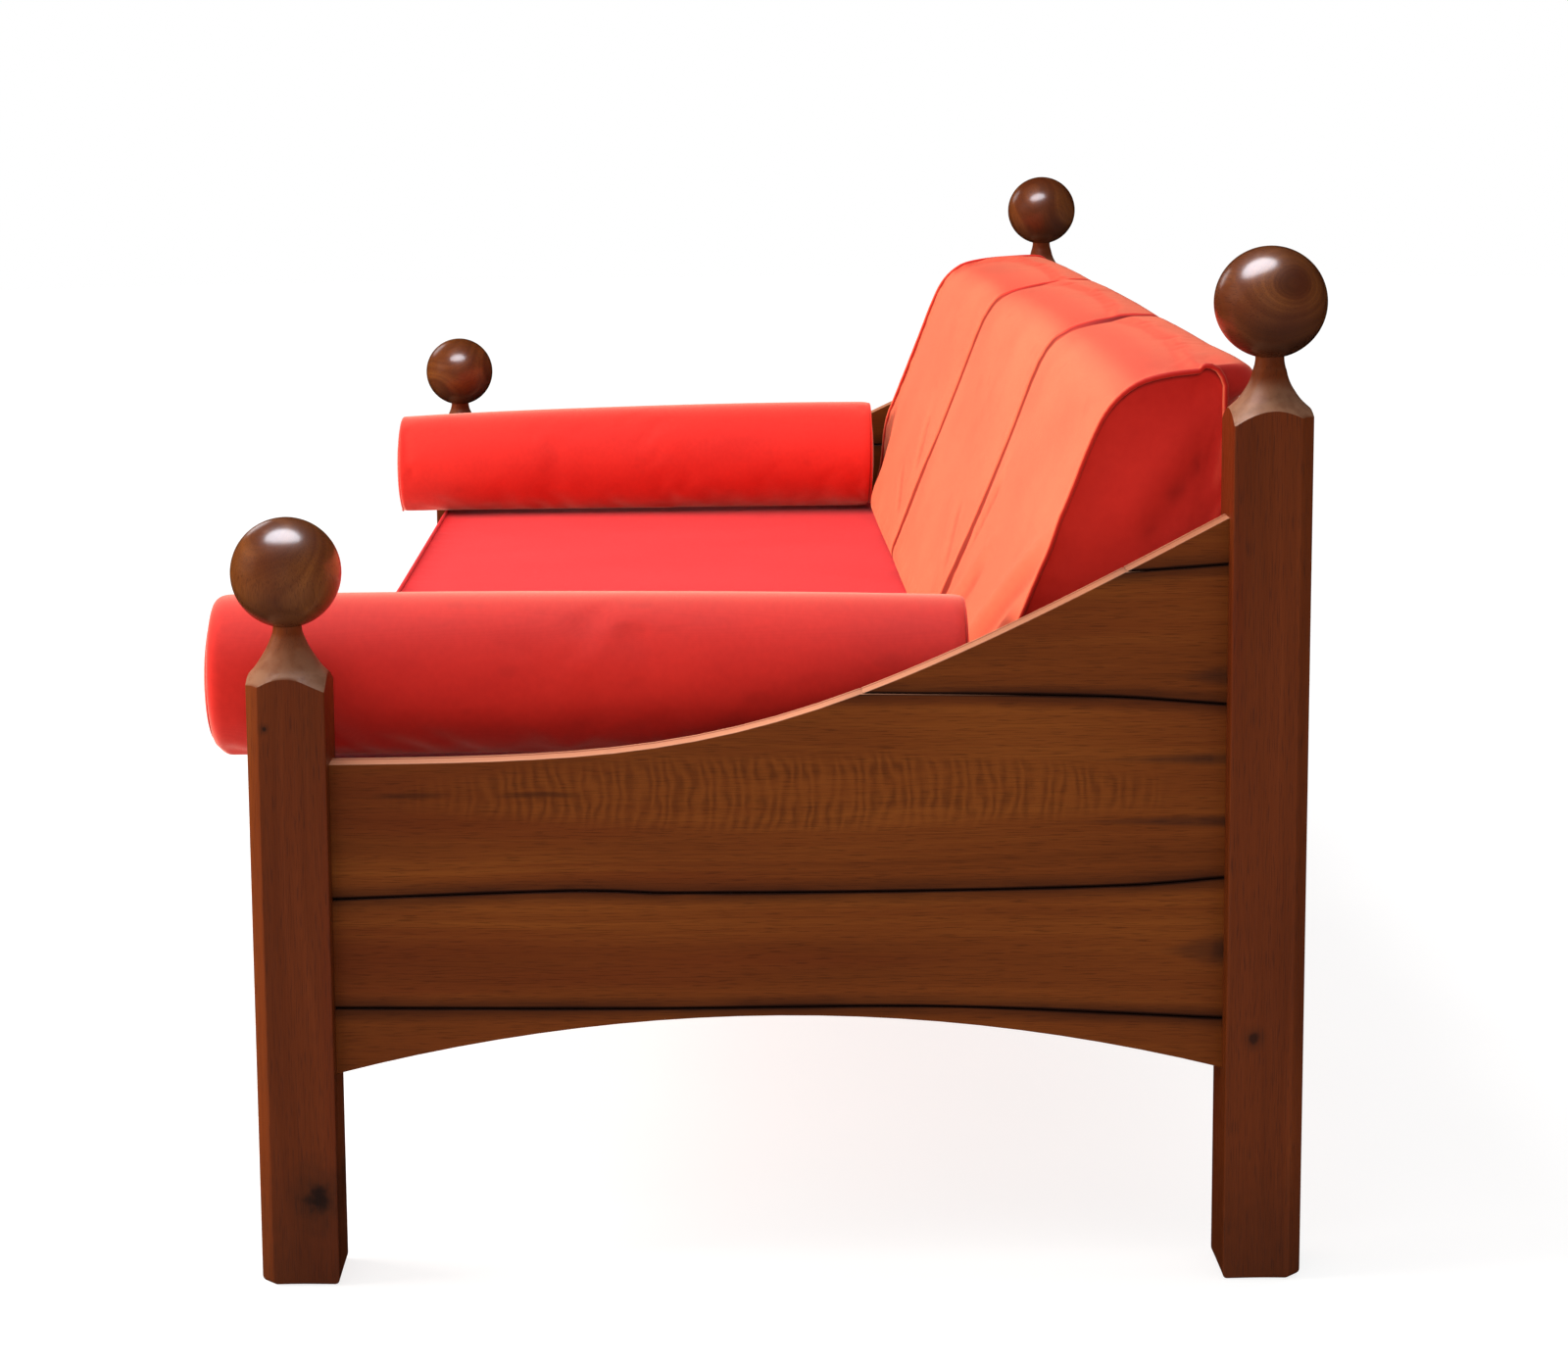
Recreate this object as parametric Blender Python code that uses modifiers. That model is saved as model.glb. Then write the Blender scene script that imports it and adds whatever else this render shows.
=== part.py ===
"""A walnut day bed with ball finials, wave-jointed boards, a mattress, a back cushion and two bolsters.

Metres, +Z up. The origin is on the floor under the middle of the bed's outline. Seen from the front,
looking along +Y, the right-hand end is at +X. The frame stands still; the four soft pieces lift off.
"""

import math

import bmesh
import bpy

# Posts and finials
POST = 0.072
POST_X = 1.0
POST_Y = {"front": -0.426, "back": 0.454}
CHAMFER = 0.012
FOOT_ROUNDING = 0.006
BALL_R = 0.050
BALL_Z = {"front": 0.656, "back": 0.8905}
NECK_R = 0.013
BORE_R = 0.0053
BORE_DEPTH = 0.025
DOWEL_R = 0.005
TURNING_STEPS = 32
# The turned top of a post, as radius and height below the ball's centre, from the neck out to the corner. The two
# front posts were turned a little fuller than the back ones.
TURNED_TOP = {
    "front": (
        (0.0132, 0.0520),
        (0.0152, 0.0587),
        (0.0192, 0.0677),
        (0.0244, 0.0766),
        (0.0306, 0.0856),
        (0.0352, 0.0905),
        (0.0390, 0.0940),
        (0.0430, 0.0980),
        (0.0530, 0.1050),
    ),
    "back": (
        (0.0132, 0.0540),
        (0.0150, 0.0607),
        (0.0166, 0.0669),
        (0.0191, 0.0730),
        (0.0228, 0.0792),
        (0.0272, 0.0854),
        (0.0322, 0.0905),
        (0.0352, 0.0930),
        (0.0414, 0.0984),
        (0.0530, 0.1090),
    ),
}

# Boards
GAP = 0.0003
HOUSING = 0.010
# How far a cutter reaches past the face that it cuts.
MARGIN = 0.010
END_THICKNESS = 0.028
RAIL_THICKNESS = 0.028
BACK_THICKNESS = 0.024
BACK_INNER_Y = 0.460
BOARD_STEPS = 22

# Bed base
SLAT_COUNT = 10
SLAT_WIDTH = 0.080
SLAT_THICKNESS = 0.018
SLAT_SPREAD = 0.880
LEDGER_DEPTH = 0.025
LEDGER_HEIGHT = 0.030
LEDGER_TOP = 0.3445

# Corner brackets and their screws
BRACKET_LEG = 0.048
BRACKET_HEIGHT = 0.050
BRACKET_THICKNESS = 0.003
BRACKET_Z = 0.280
# How far each bracket's other leg runs along its post, and where along the long leg its screw sits.
BRACKET_POST_LEG = {"front": 0.021, "back": 0.038}
BRACKET_SCREW_SHARE = 0.6
SCREW_R = 0.002
SCREW_HEAD_R = 0.004
SCREW_HEAD_FLAT_R = 0.0032
SCREW_HEAD_HEIGHT = 0.002
SCREW_LENGTH = 0.020

# Soft pieces
SEAT_Z = 0.464
MATTRESS_HALF_X = 0.945
MATTRESS_Y = (-0.447, 0.453)
MATTRESS_EDGE_R = 0.012
CUSHION_HALF_X = 0.940
BOLSTER_R = 0.0735
BOLSTER_X = 0.868
BOLSTER_Y = (-0.504, 0.188)
BOLSTER_EDGE_R = 0.008

SIDES = {"right": 1, "left": -1}
INNER_X = POST_X - POST / 2
INNER_Y = (POST_Y["front"] + POST / 2, POST_Y["back"] - POST / 2)
NECK_DROP = math.sqrt(BALL_R**2 - NECK_R**2)


def clear_scene():
    for obj in list(bpy.data.objects):
        bpy.data.objects.remove(obj, do_unlink=True)


def collection(name):
    made = bpy.data.collections.new(name)
    bpy.context.scene.collection.children.link(made)
    return made


def material(name, colour, roughness, metallic=0.0):
    made = bpy.data.materials.new(name)
    made.use_nodes = True
    shader = made.node_tree.nodes["Principled BSDF"]
    shader.inputs["Base Color"].default_value = (*colour, 1.0)
    shader.inputs["Roughness"].default_value = roughness
    shader.inputs["Metallic"].default_value = metallic
    return made


clear_scene()
DAYBED = collection("daybed")
CUTTERS = collection("cutters")
WALNUT = material("walnut", (0.105, 0.042, 0.020), 0.35)
PINE = material("pine", (0.62, 0.44, 0.26), 0.6)
STEEL = material("zinc_plated_steel", (0.62, 0.62, 0.60), 0.35, 1.0)
FABRIC = material("red_fabric", (0.62, 0.025, 0.025), 0.7)


def add_object(name, mesh, finish, location=(0, 0, 0), rotation=(0, 0, 0)):
    """A finished piece, or a hidden cutter where there is no finish."""
    obj = bpy.data.objects.new(name, mesh)
    obj.location = location
    obj.rotation_euler = rotation
    if finish:
        mesh.materials.append(finish)
        DAYBED.objects.link(obj)
    else:
        CUTTERS.objects.link(obj)
        obj.hide_render = True
        obj.display_type = "WIRE"
    return obj


def box(name, low, high, finish):
    """A block between two corners, with its origin at its middle."""
    size = [b - a for a, b in zip(low, high)]
    middle = [(a + b) / 2 for a, b in zip(low, high)]
    bm = bmesh.new()
    bmesh.ops.create_cube(bm, size=1.0)
    bmesh.ops.scale(bm, vec=size, verts=bm.verts)
    mesh = bpy.data.meshes.new(name)
    bm.to_mesh(mesh)
    bm.free()
    return add_object(name, mesh, finish, middle)


def turned(name, profile, steps, finish, location=(0, 0, 0), rotation=(0, 0, 0)):
    """A profile of (radius, height) points, running down its outer side, turned about its own Z axis."""
    mesh = bpy.data.meshes.new(name)
    edges = [(i, i + 1) for i in range(len(profile) - 1)]
    mesh.from_pydata([(r, 0, z) for r, z in profile], edges, [])
    obj = add_object(name, mesh, finish, location, rotation)
    screw = obj.modifiers.new("turn", "SCREW")
    screw.steps = steps
    screw.render_steps = steps
    screw.use_merge_vertices = True
    screw.merge_threshold = 0.00001
    return obj


def boolean(obj, other, operation):
    cut = obj.modifiers.new(other.name, "BOOLEAN")
    cut.operation = operation
    cut.object = other
    cut.solver = "EXACT"


def as_mesh(curve_object, finish):
    """The curve's solid as a mesh object of the same name and place, with its caps welded."""
    graph = bpy.context.evaluated_depsgraph_get()
    mesh = bpy.data.meshes.new_from_object(curve_object.evaluated_get(graph))
    bm = bmesh.new()
    bm.from_mesh(mesh)
    bmesh.ops.remove_doubles(bm, verts=bm.verts, dist=0.00001)
    bm.to_mesh(mesh)
    bm.free()
    name = curve_object.name
    location = curve_object.location.copy()
    rotation = curve_object.rotation_euler.copy()
    bpy.data.objects.remove(curve_object, do_unlink=True)
    mesh.materials.clear()
    return add_object(name, mesh, finish, location, rotation)


def plate(name, outline, thickness, finish, location, rotation):
    """A flat outline, given a thickness either side of its plane."""
    data = bpy.data.curves.new(name, "CURVE")
    data.dimensions = "2D"
    data.fill_mode = "BOTH"
    data.extrude = thickness / 2
    spline = data.splines.new("POLY")
    spline.points.add(len(outline) - 1)
    for point, (u, v) in zip(spline.points, outline):
        point.co = (u, v, 0, 1)
    spline.use_cyclic_u = True
    obj = bpy.data.objects.new(name, data)
    obj.location = location
    obj.rotation_euler = rotation
    DAYBED.objects.link(obj)
    bpy.context.view_layer.update()
    return as_mesh(obj, finish)


def smooth_line(points):
    """A height as a function of the distance along a board: a smooth curve through the points."""

    def slope(i):
        (s0, h0), (s1, h1) = points[max(i - 1, 0)], points[min(i + 1, len(points) - 1)]
        return (h1 - h0) / (s1 - s0)

    def height(s):
        s = min(max(s, points[0][0]), points[-1][0])
        i = max(k for k in range(len(points) - 1) if points[k][0] <= s)
        (s0, h0), (s1, h1) = points[i], points[i + 1]
        span = s1 - s0
        t = (s - s0) / span
        start = (1 + 2 * t) * (1 - t) ** 2 * h0 + t * (1 - t) ** 2 * span * slope(i)
        end = t * t * (3 - 2 * t) * h1 + t * t * (t - 1) * span * slope(i + 1)
        return start + end

    return height


def bezier_line(p0, p1, p2, p3):
    """The height of a cubic curve whose points move steadily along the board."""

    def at(t, axis):
        a, b, c, d = p0[axis], p1[axis], p2[axis], p3[axis]
        return (1 - t) ** 3 * a + 3 * (1 - t) ** 2 * t * b + 3 * (1 - t) * t * t * c + t**3 * d

    def height(s):
        low, high = 0.0, 1.0
        for _ in range(40):
            middle = (low + high) / 2
            if at(middle, 0) < s:
                low = middle
            else:
                high = middle
        return at(low, 1)

    return height


def arch(middle, half_span, top, rise):
    return lambda s: top - rise * min(abs(s - middle) / half_span, 1.0) ** 2


def level(height):
    return lambda s: height


def crossing(lower, upper, start, end):
    """Where upper rises above lower, between start, where it is below, and end."""
    for _ in range(40):
        middle = (start + end) / 2
        if upper(middle) > lower(middle):
            end = middle
        else:
            start = middle
    return end


def board_outline(lower, upper, faces, start=None, corners=()):
    """The outline of a board between two edges. It runs on level into the housing of each post.

    faces are the posts' inner faces. A start is the sharp tip of a board that ends short of the first post.
    corners are places where an edge has a corner of its own.
    """
    first, last = faces
    begin = first if start is None else start
    steps = [begin + (last - begin) * i / BOARD_STEPS for i in range(BOARD_STEPS + 1)]
    stations = sorted([s for s in steps if all(abs(s - c) > 0.004 for c in corners)] + list(corners))
    bottom = [(s, lower(s)) for s in stations]
    top = [(s, upper(s)) for s in stations]
    depth = HOUSING - GAP
    bottom.append((last + depth, lower(last)))
    top.append((last + depth, upper(last)))
    if start is None:
        bottom.insert(0, (first - depth, lower(first)))
        top.insert(0, (first - depth, upper(first)))
    else:
        top.pop(0)
    return bottom + top[::-1]


def gapped(line, side):
    """A board's own edge at a joint: a little below the joint line for side -1, above it for side 1."""
    return lambda s: line(s) + side * GAP


# The boards of each end, as the shape of their joints, which all run from the front post to the back post.
END_SWOOP = bezier_line((INNER_Y[0], 0.4826), (-0.051, 0.4832), (0.0245, 0.491), (INNER_Y[1], 0.700))
END_ARCH = arch(sum(INNER_Y) / 2, (INNER_Y[1] - INNER_Y[0]) / 2, 0.2455, 0.052)
END_JOINTS = {
    "right": (
        ((-0.390, 0.2557), (-0.102, 0.2530), (0.160, 0.2532), (0.418, 0.2403)),
        ((-0.390, 0.3576), (-0.162, 0.3638), (-0.090, 0.3610), (0.160, 0.3614), (0.3425, 0.3654), (0.418, 0.3712)),
        ((0.020, 0.5440), (0.108, 0.5433), (0.311, 0.5389), (0.418, 0.5309)),
        ((0.250, 0.6490), (0.335, 0.6526), (0.418, 0.6580)),
    ),
    "left": (
        ((-0.390, 0.2530), (-0.150, 0.2545), (0.120, 0.2528), (0.418, 0.2460)),
        ((-0.390, 0.3640), (-0.200, 0.3580), (0.050, 0.3650), (0.240, 0.3620), (0.418, 0.3560)),
        ((0.020, 0.5400), (0.150, 0.5380), (0.290, 0.5430), (0.418, 0.5370)),
        ((0.250, 0.6550), (0.335, 0.6520), (0.418, 0.6500)),
    ),
}

# The front rail and the back panel, whose joints run from the left posts to the right posts.
FACES_X = (-INNER_X, INNER_X)
RAIL_TOP = LEDGER_TOP + GAP + SLAT_THICKNESS
RAIL_ARCH = arch(0, INNER_X, 0.2450, 0.035)
RAIL_JOINT = ((-0.964, 0.292), (-0.520, 0.301), (-0.080, 0.294), (0.380, 0.303), (0.964, 0.295))
BACK_TOP = arch(0, INNER_X, 0.772, 0.004)
BACK_ARCH = arch(0, INNER_X, 0.2455, 0.050)
BACK_JOINTS = (
    ((-0.964, 0.364), (-0.560, 0.371), (-0.120, 0.362), (0.340, 0.370), (0.964, 0.363)),
    ((-0.964, 0.497), (-0.480, 0.488), (0.020, 0.498), (0.520, 0.490), (0.964, 0.499)),
    ((-0.964, 0.640), (-0.600, 0.648), (-0.060, 0.638), (0.460, 0.648), (0.964, 0.641)),
)


def end_boards(side, sign):
    """Five boards, from the floor up. The swoop cuts across the top three of them."""
    joints = [smooth_line(points) for points in END_JOINTS[side]]
    edges = [gapped(joint, 1) for joint in joints]
    tips = [None, None, None]
    tips += [crossing(edges[i], END_SWOOP, END_JOINTS[side][i][0][0], INNER_Y[1]) for i in (2, 3)]
    made = []
    for i in range(5):
        lower = END_ARCH if i == 0 else edges[i - 1]
        upper = END_SWOOP
        corners = ()
        if i < 4:
            under = gapped(joints[i], -1)
            upper = under
        if i in (2, 3):
            meet = crossing(under, END_SWOOP, END_JOINTS[side][i][0][0], INNER_Y[1])
            corners = (meet,)
            upper = lambda s, cap=under, end=meet: cap(s) if s >= end else END_SWOOP(s)
        outline = board_outline(lower, upper, INNER_Y, tips[i], corners)
        name = f"end_board_{side}_{i + 1}"
        stand = (math.pi / 2, 0, math.pi / 2)
        made.append(plate(name, outline, END_THICKNESS, WALNUT, (sign * POST_X, 0, 0), stand))
    return made


def long_boards(name, joints, bottom, top, thickness, y):
    """Boards along the bed, from the floor up, between the left and right posts."""
    lines = [smooth_line(points) for points in joints]
    lowers = [bottom] + [gapped(line, 1) for line in lines]
    uppers = [gapped(line, -1) for line in lines] + [top]
    made = []
    for i, (lower, upper) in enumerate(zip(lowers, uppers)):
        outline = board_outline(lower, upper, FACES_X)
        stand = (math.pi / 2, 0, 0)
        made.append(plate(f"{name}_{i + 1}", outline, thickness, WALNUT, (0, y, 0), stand))
    return made


def post(side, row):
    """A square post with one chamfered outer corner, a turned top and a bore for the finial's dowel."""
    name = f"post_{row}_{side}"
    x, y = SIDES[side] * POST_X, POST_Y[row]
    neck_z = BALL_Z[row] - NECK_DROP - GAP
    outward = -1 if row == "front" else 1
    obj = box(name, (x - POST / 2, y - POST / 2, 0), (x + POST / 2, y + POST / 2, neck_z + MARGIN), WALNUT)
    bm = bmesh.new()
    bm.from_mesh(obj.data)
    corner = [
        edge
        for edge in bm.edges
        if all(v.co.x * SIDES[side] > 0 and v.co.y * outward > 0 for v in edge.verts)
    ]
    bmesh.ops.bevel(bm, geom=corner, offset=CHAMFER, segments=1, affect="EDGES", offset_type="OFFSET")
    foot = [edge for edge in bm.edges if all(v.co.z < MARGIN for v in edge.verts)]
    bmesh.ops.bevel(bm, geom=foot, offset=FOOT_ROUNDING, segments=2, affect="EDGES", profile=0.5)
    bm.to_mesh(obj.data)
    bm.free()
    top = [(0, neck_z - BORE_DEPTH), (BORE_R, neck_z - BORE_DEPTH), (BORE_R, neck_z), (NECK_R, neck_z)]
    flare = [(radius, BALL_Z[row] - drop) for radius, drop in TURNED_TOP[row]]
    widest = flare[-1][0]
    envelope = top + flare + [(widest, -MARGIN), (0, -MARGIN)]
    # Half a step of turn keeps the turning's seams off the post's own corners.
    half_step = (0, 0, math.pi / TURNING_STEPS)
    turning = turned(f"turning_{row}_{side}", envelope, TURNING_STEPS, None, (x, y, 0), half_step)
    boolean(obj, turning, "INTERSECT")
    return obj


def ball(side, row):
    """A turned ball with a flat to stand on the neck and a blind bore for its dowel."""
    bottom = -NECK_DROP
    bore = [(BORE_R, bottom), (BORE_R, bottom + BORE_DEPTH), (0, bottom + BORE_DEPTH)]
    lowest = math.acos(bottom / BALL_R)
    rings = 14
    round_side = [
        (BALL_R * math.sin(lowest * i / rings), BALL_R * math.cos(lowest * i / rings)) for i in range(rings + 1)
    ]
    place = (SIDES[side] * POST_X, POST_Y[row], BALL_Z[row])
    return turned(f"ball_{row}_{side}", round_side + bore, 24, WALNUT, place)


def finial_dowel(side, row):
    half = BORE_DEPTH - GAP
    profile = [(0, half), (DOWEL_R, half), (DOWEL_R, -half), (0, -half)]
    place = (SIDES[side] * POST_X, POST_Y[row], BALL_Z[row] - NECK_DROP - GAP / 2)
    return turned(f"finial_dowel_{row}_{side}", profile, 12, PINE, place)


def housing(target, low, high):
    """Cuts the groove that boards run into out of a post."""
    boolean(target, box(f"housing_{len(CUTTERS.objects)}", low, high, None), "DIFFERENCE")


def cut_housings(posts):
    """The end boards' grooves and the long boards' grooves, each as long as the boards that it takes."""
    half = END_THICKNESS / 2 + GAP
    for (row, side), obj in posts.items():
        sign = SIDES[side]
        face, depth = (INNER_Y[0], -HOUSING) if row == "front" else (INNER_Y[1], HOUSING)
        mouth = face - math.copysign(MARGIN, depth)
        y_low, y_high = sorted((mouth, face + depth))
        z_low, z_high = END_ARCH(face) - GAP, END_SWOOP(face) + GAP
        middle = sign * POST_X
        housing(obj, (middle - half, y_low, z_low), (middle + half, y_high, z_high))
        x_low, x_high = sorted((sign * (INNER_X - MARGIN), sign * (INNER_X + HOUSING)))
        if row == "front":
            rail = RAIL_THICKNESS / 2 + GAP
            y_low, y_high = POST_Y["front"] - rail, POST_Y["front"] + rail
            z_low, z_high = RAIL_ARCH(INNER_X) - GAP, RAIL_TOP + GAP
        else:
            y_low, y_high = BACK_INNER_Y - GAP, BACK_INNER_Y + BACK_THICKNESS + GAP
            z_low, z_high = BACK_ARCH(INNER_X) - GAP, BACK_TOP(INNER_X) + GAP
        housing(obj, (x_low, y_low, z_low), (x_high, y_high, z_high))


def bed_base():
    """Two ledgers with loose slats across them."""
    front = POST_Y["front"] + RAIL_THICKNESS / 2 + GAP
    back = BACK_INNER_Y - GAP
    reach = INNER_X - GAP
    bottom = LEDGER_TOP - LEDGER_HEIGHT
    box("ledger_front", (-reach, front, bottom), (reach, front + LEDGER_DEPTH, LEDGER_TOP), PINE)
    box("ledger_back", (-reach, back - LEDGER_DEPTH, bottom), (reach, back, LEDGER_TOP), PINE)
    for i in range(SLAT_COUNT):
        x = -SLAT_SPREAD + 2 * SLAT_SPREAD * i / (SLAT_COUNT - 1)
        low = (x - SLAT_WIDTH / 2, front + GAP, LEDGER_TOP + GAP)
        high = (x + SLAT_WIDTH / 2, back - GAP, LEDGER_TOP + GAP + SLAT_THICKNESS)
        box(f"slat_{i + 1:02d}", low, high, PINE)


def screw(name, head, rotation, sunk_in):
    """A pan-head screw whose shank runs along its own -Z. Each piece in sunk_in gets a clearance hole."""
    shank = -SCREW_LENGTH
    profile = [
        (0, SCREW_HEAD_HEIGHT + GAP),
        (SCREW_HEAD_FLAT_R, SCREW_HEAD_HEIGHT + GAP),
        (SCREW_HEAD_R, SCREW_HEAD_HEIGHT / 2 + GAP),
        (SCREW_HEAD_R, GAP),
        (SCREW_R, GAP),
        (SCREW_R, shank + 2 * SCREW_R),
        (0, shank),
    ]
    turned(name, profile, 10, STEEL, head, rotation)
    reach = SCREW_R + GAP
    above = BRACKET_THICKNESS / 3
    hole = [(0, above), (reach, above), (reach, shank - GAP), (0, shank - GAP)]
    cutter = turned(f"{name}_hole", hole, 12, None, head, rotation)
    for piece in sunk_in:
        boolean(piece, cutter, "DIFFERENCE")


def corner_bracket(side, row, post_object, board):
    """A steel angle in the corner between a post and the long boards, with a screw into each."""
    sign = SIDES[side]
    inward = 1 if row == "front" else -1
    board_face = POST_Y["front"] + RAIL_THICKNESS / 2 if row == "front" else BACK_INNER_Y
    x, y = sign * (INNER_X - GAP), board_face + inward * GAP
    leg_y = BRACKET_POST_LEG[row]
    t = BRACKET_THICKNESS
    outline = [
        (x, y),
        (x - sign * BRACKET_LEG, y),
        (x - sign * BRACKET_LEG, y + inward * t),
        (x - sign * t, y + inward * t),
        (x - sign * t, y + inward * leg_y),
        (x, y + inward * leg_y),
    ]
    name = f"bracket_{row}_{side}"
    bracket = plate(name, outline, BRACKET_HEIGHT, STEEL, (0, 0, BRACKET_Z), (0, 0, 0))
    at_board = (x - sign * BRACKET_LEG * BRACKET_SCREW_SHARE, y + inward * t, BRACKET_Z)
    at_post = (x - sign * t, y + inward * (leg_y + t + SCREW_R) / 2, BRACKET_Z)
    quarter = math.pi / 2
    screw(f"board_screw_{row}_{side}", at_board, (-inward * quarter, 0, 0), [bracket, board])
    screw(f"post_screw_{row}_{side}", at_post, (0, -sign * quarter, 0), [bracket, post_object])


def soft_box(name, low, high, edge_radius):
    obj = box(name, low, high, FABRIC)
    bm = bmesh.new()
    bm.from_mesh(obj.data)
    bmesh.ops.bevel(bm, geom=bm.edges[:], offset=edge_radius, segments=2, affect="EDGES", profile=0.5)
    bm.to_mesh(obj.data)
    bm.free()
    return obj


def back_cushion():
    """A wedge that stands on the mattress and leans on the back panel, with a rounded top front edge."""
    foot = SEAT_Z + GAP
    rear = BACK_INNER_Y - GAP
    outline = [
        (rear, foot),
        (rear, 0.812),
        (0.455, 0.824),
        (0.442, 0.829),
        (0.400, 0.829),
        (0.362, 0.825),
        (0.336, 0.814),
        (0.317, 0.795),
        (0.301, 0.757),
        (0.281, 0.704),
        (0.246, 0.612),
        (0.213, 0.530),
        (0.1905, 0.474),
        (0.1955, foot),
    ]
    stand = (math.pi / 2, 0, math.pi / 2)
    return plate("back_cushion", outline[::-1], 2 * CUSHION_HALF_X, FABRIC, (0, 0, 0), stand)


def bolster(side):
    half = (BOLSTER_Y[1] - BOLSTER_Y[0]) / 2
    edge = BOLSTER_EDGE_R
    shoulder = BOLSTER_R - edge
    turns = [math.pi / 2 * i / 3 for i in range(4)]
    top = [(shoulder + edge * math.sin(a), half - edge + edge * math.cos(a)) for a in turns]
    profile = [(0, half)] + top + [(r, -z) for r, z in reversed(top)] + [(0, -half)]
    place = (SIDES[side] * BOLSTER_X, sum(BOLSTER_Y) / 2, SEAT_Z + GAP + BOLSTER_R)
    return turned(f"bolster_{side}", profile, 28, FABRIC, place, (-math.pi / 2, 0, 0))


def shade(obj):
    """Round pieces look smooth, with their real corners kept."""
    obj.data.shade_smooth()
    obj.data.set_sharp_from_angle(angle=math.radians(35))


def main():
    posts = {(row, side): post(side, row) for row in POST_Y for side in SIDES}
    for row in POST_Y:
        for side in SIDES:
            ball(side, row)
            finial_dowel(side, row)
    for side, sign in SIDES.items():
        end_boards(side, sign)
    rail = long_boards("front_rail", (RAIL_JOINT,), RAIL_ARCH, level(RAIL_TOP), RAIL_THICKNESS, POST_Y["front"])
    back_y = BACK_INNER_Y + BACK_THICKNESS / 2
    back = long_boards("back_board", BACK_JOINTS, BACK_ARCH, BACK_TOP, BACK_THICKNESS, back_y)
    cut_housings(posts)
    bed_base()
    for side in SIDES:
        corner_bracket(side, "front", posts["front", side], rail[0])
        corner_bracket(side, "back", posts["back", side], back[0])
        bolster(side)
    low = (-MATTRESS_HALF_X, MATTRESS_Y[0], LEDGER_TOP + 2 * GAP + SLAT_THICKNESS)
    soft_box("mattress", low, (MATTRESS_HALF_X, MATTRESS_Y[1], SEAT_Z), MATTRESS_EDGE_R)
    back_cushion()
    for obj in DAYBED.objects:
        shade(obj)


main()
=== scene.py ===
"""Looks of the walnut day bed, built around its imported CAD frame: wood, red cushions, floor, light, camera.

Everything is in metres in the CAD's frame. The bed's right-hand end, at +X, faces the camera.
"""

import math

import bmesh
import bpy
import numpy as np
from mathutils import Matrix, Vector


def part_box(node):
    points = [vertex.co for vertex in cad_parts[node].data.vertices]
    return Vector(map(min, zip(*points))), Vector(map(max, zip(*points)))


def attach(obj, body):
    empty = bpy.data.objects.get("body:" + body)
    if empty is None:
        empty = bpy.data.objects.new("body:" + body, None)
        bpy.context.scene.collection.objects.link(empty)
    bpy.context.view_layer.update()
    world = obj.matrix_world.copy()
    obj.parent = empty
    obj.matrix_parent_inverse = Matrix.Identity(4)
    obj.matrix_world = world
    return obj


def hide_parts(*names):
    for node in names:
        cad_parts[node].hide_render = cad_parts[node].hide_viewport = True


TURN = 2 * math.pi

# Camera, from a fit to the bed's own geometry
CAMERA_PLACE = (3.8452, -0.0387, 1.0912)
CAMERA_YAW, CAMERA_PITCH, CAMERA_ROLL = -0.0095, 0.1419, -0.0102
CAMERA_LENS, CAMERA_SENSOR = 73.62, 36.0
CAMERA_SHIFT = (0.0623, -0.0942)

SIDES = {"right": 1, "left": -1}
ENDS = {"front": -1, "back": 1}

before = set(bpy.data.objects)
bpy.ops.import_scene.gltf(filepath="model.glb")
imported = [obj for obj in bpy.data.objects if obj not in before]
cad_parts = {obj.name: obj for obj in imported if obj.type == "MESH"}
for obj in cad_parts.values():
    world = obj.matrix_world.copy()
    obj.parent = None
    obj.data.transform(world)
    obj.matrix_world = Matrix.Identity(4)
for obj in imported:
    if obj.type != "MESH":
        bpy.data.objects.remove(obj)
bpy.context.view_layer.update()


def add_object(name, data):
    obj = bpy.data.objects.new(name, data)
    bpy.context.scene.collection.objects.link(obj)
    return obj


# ------------ materials


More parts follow.
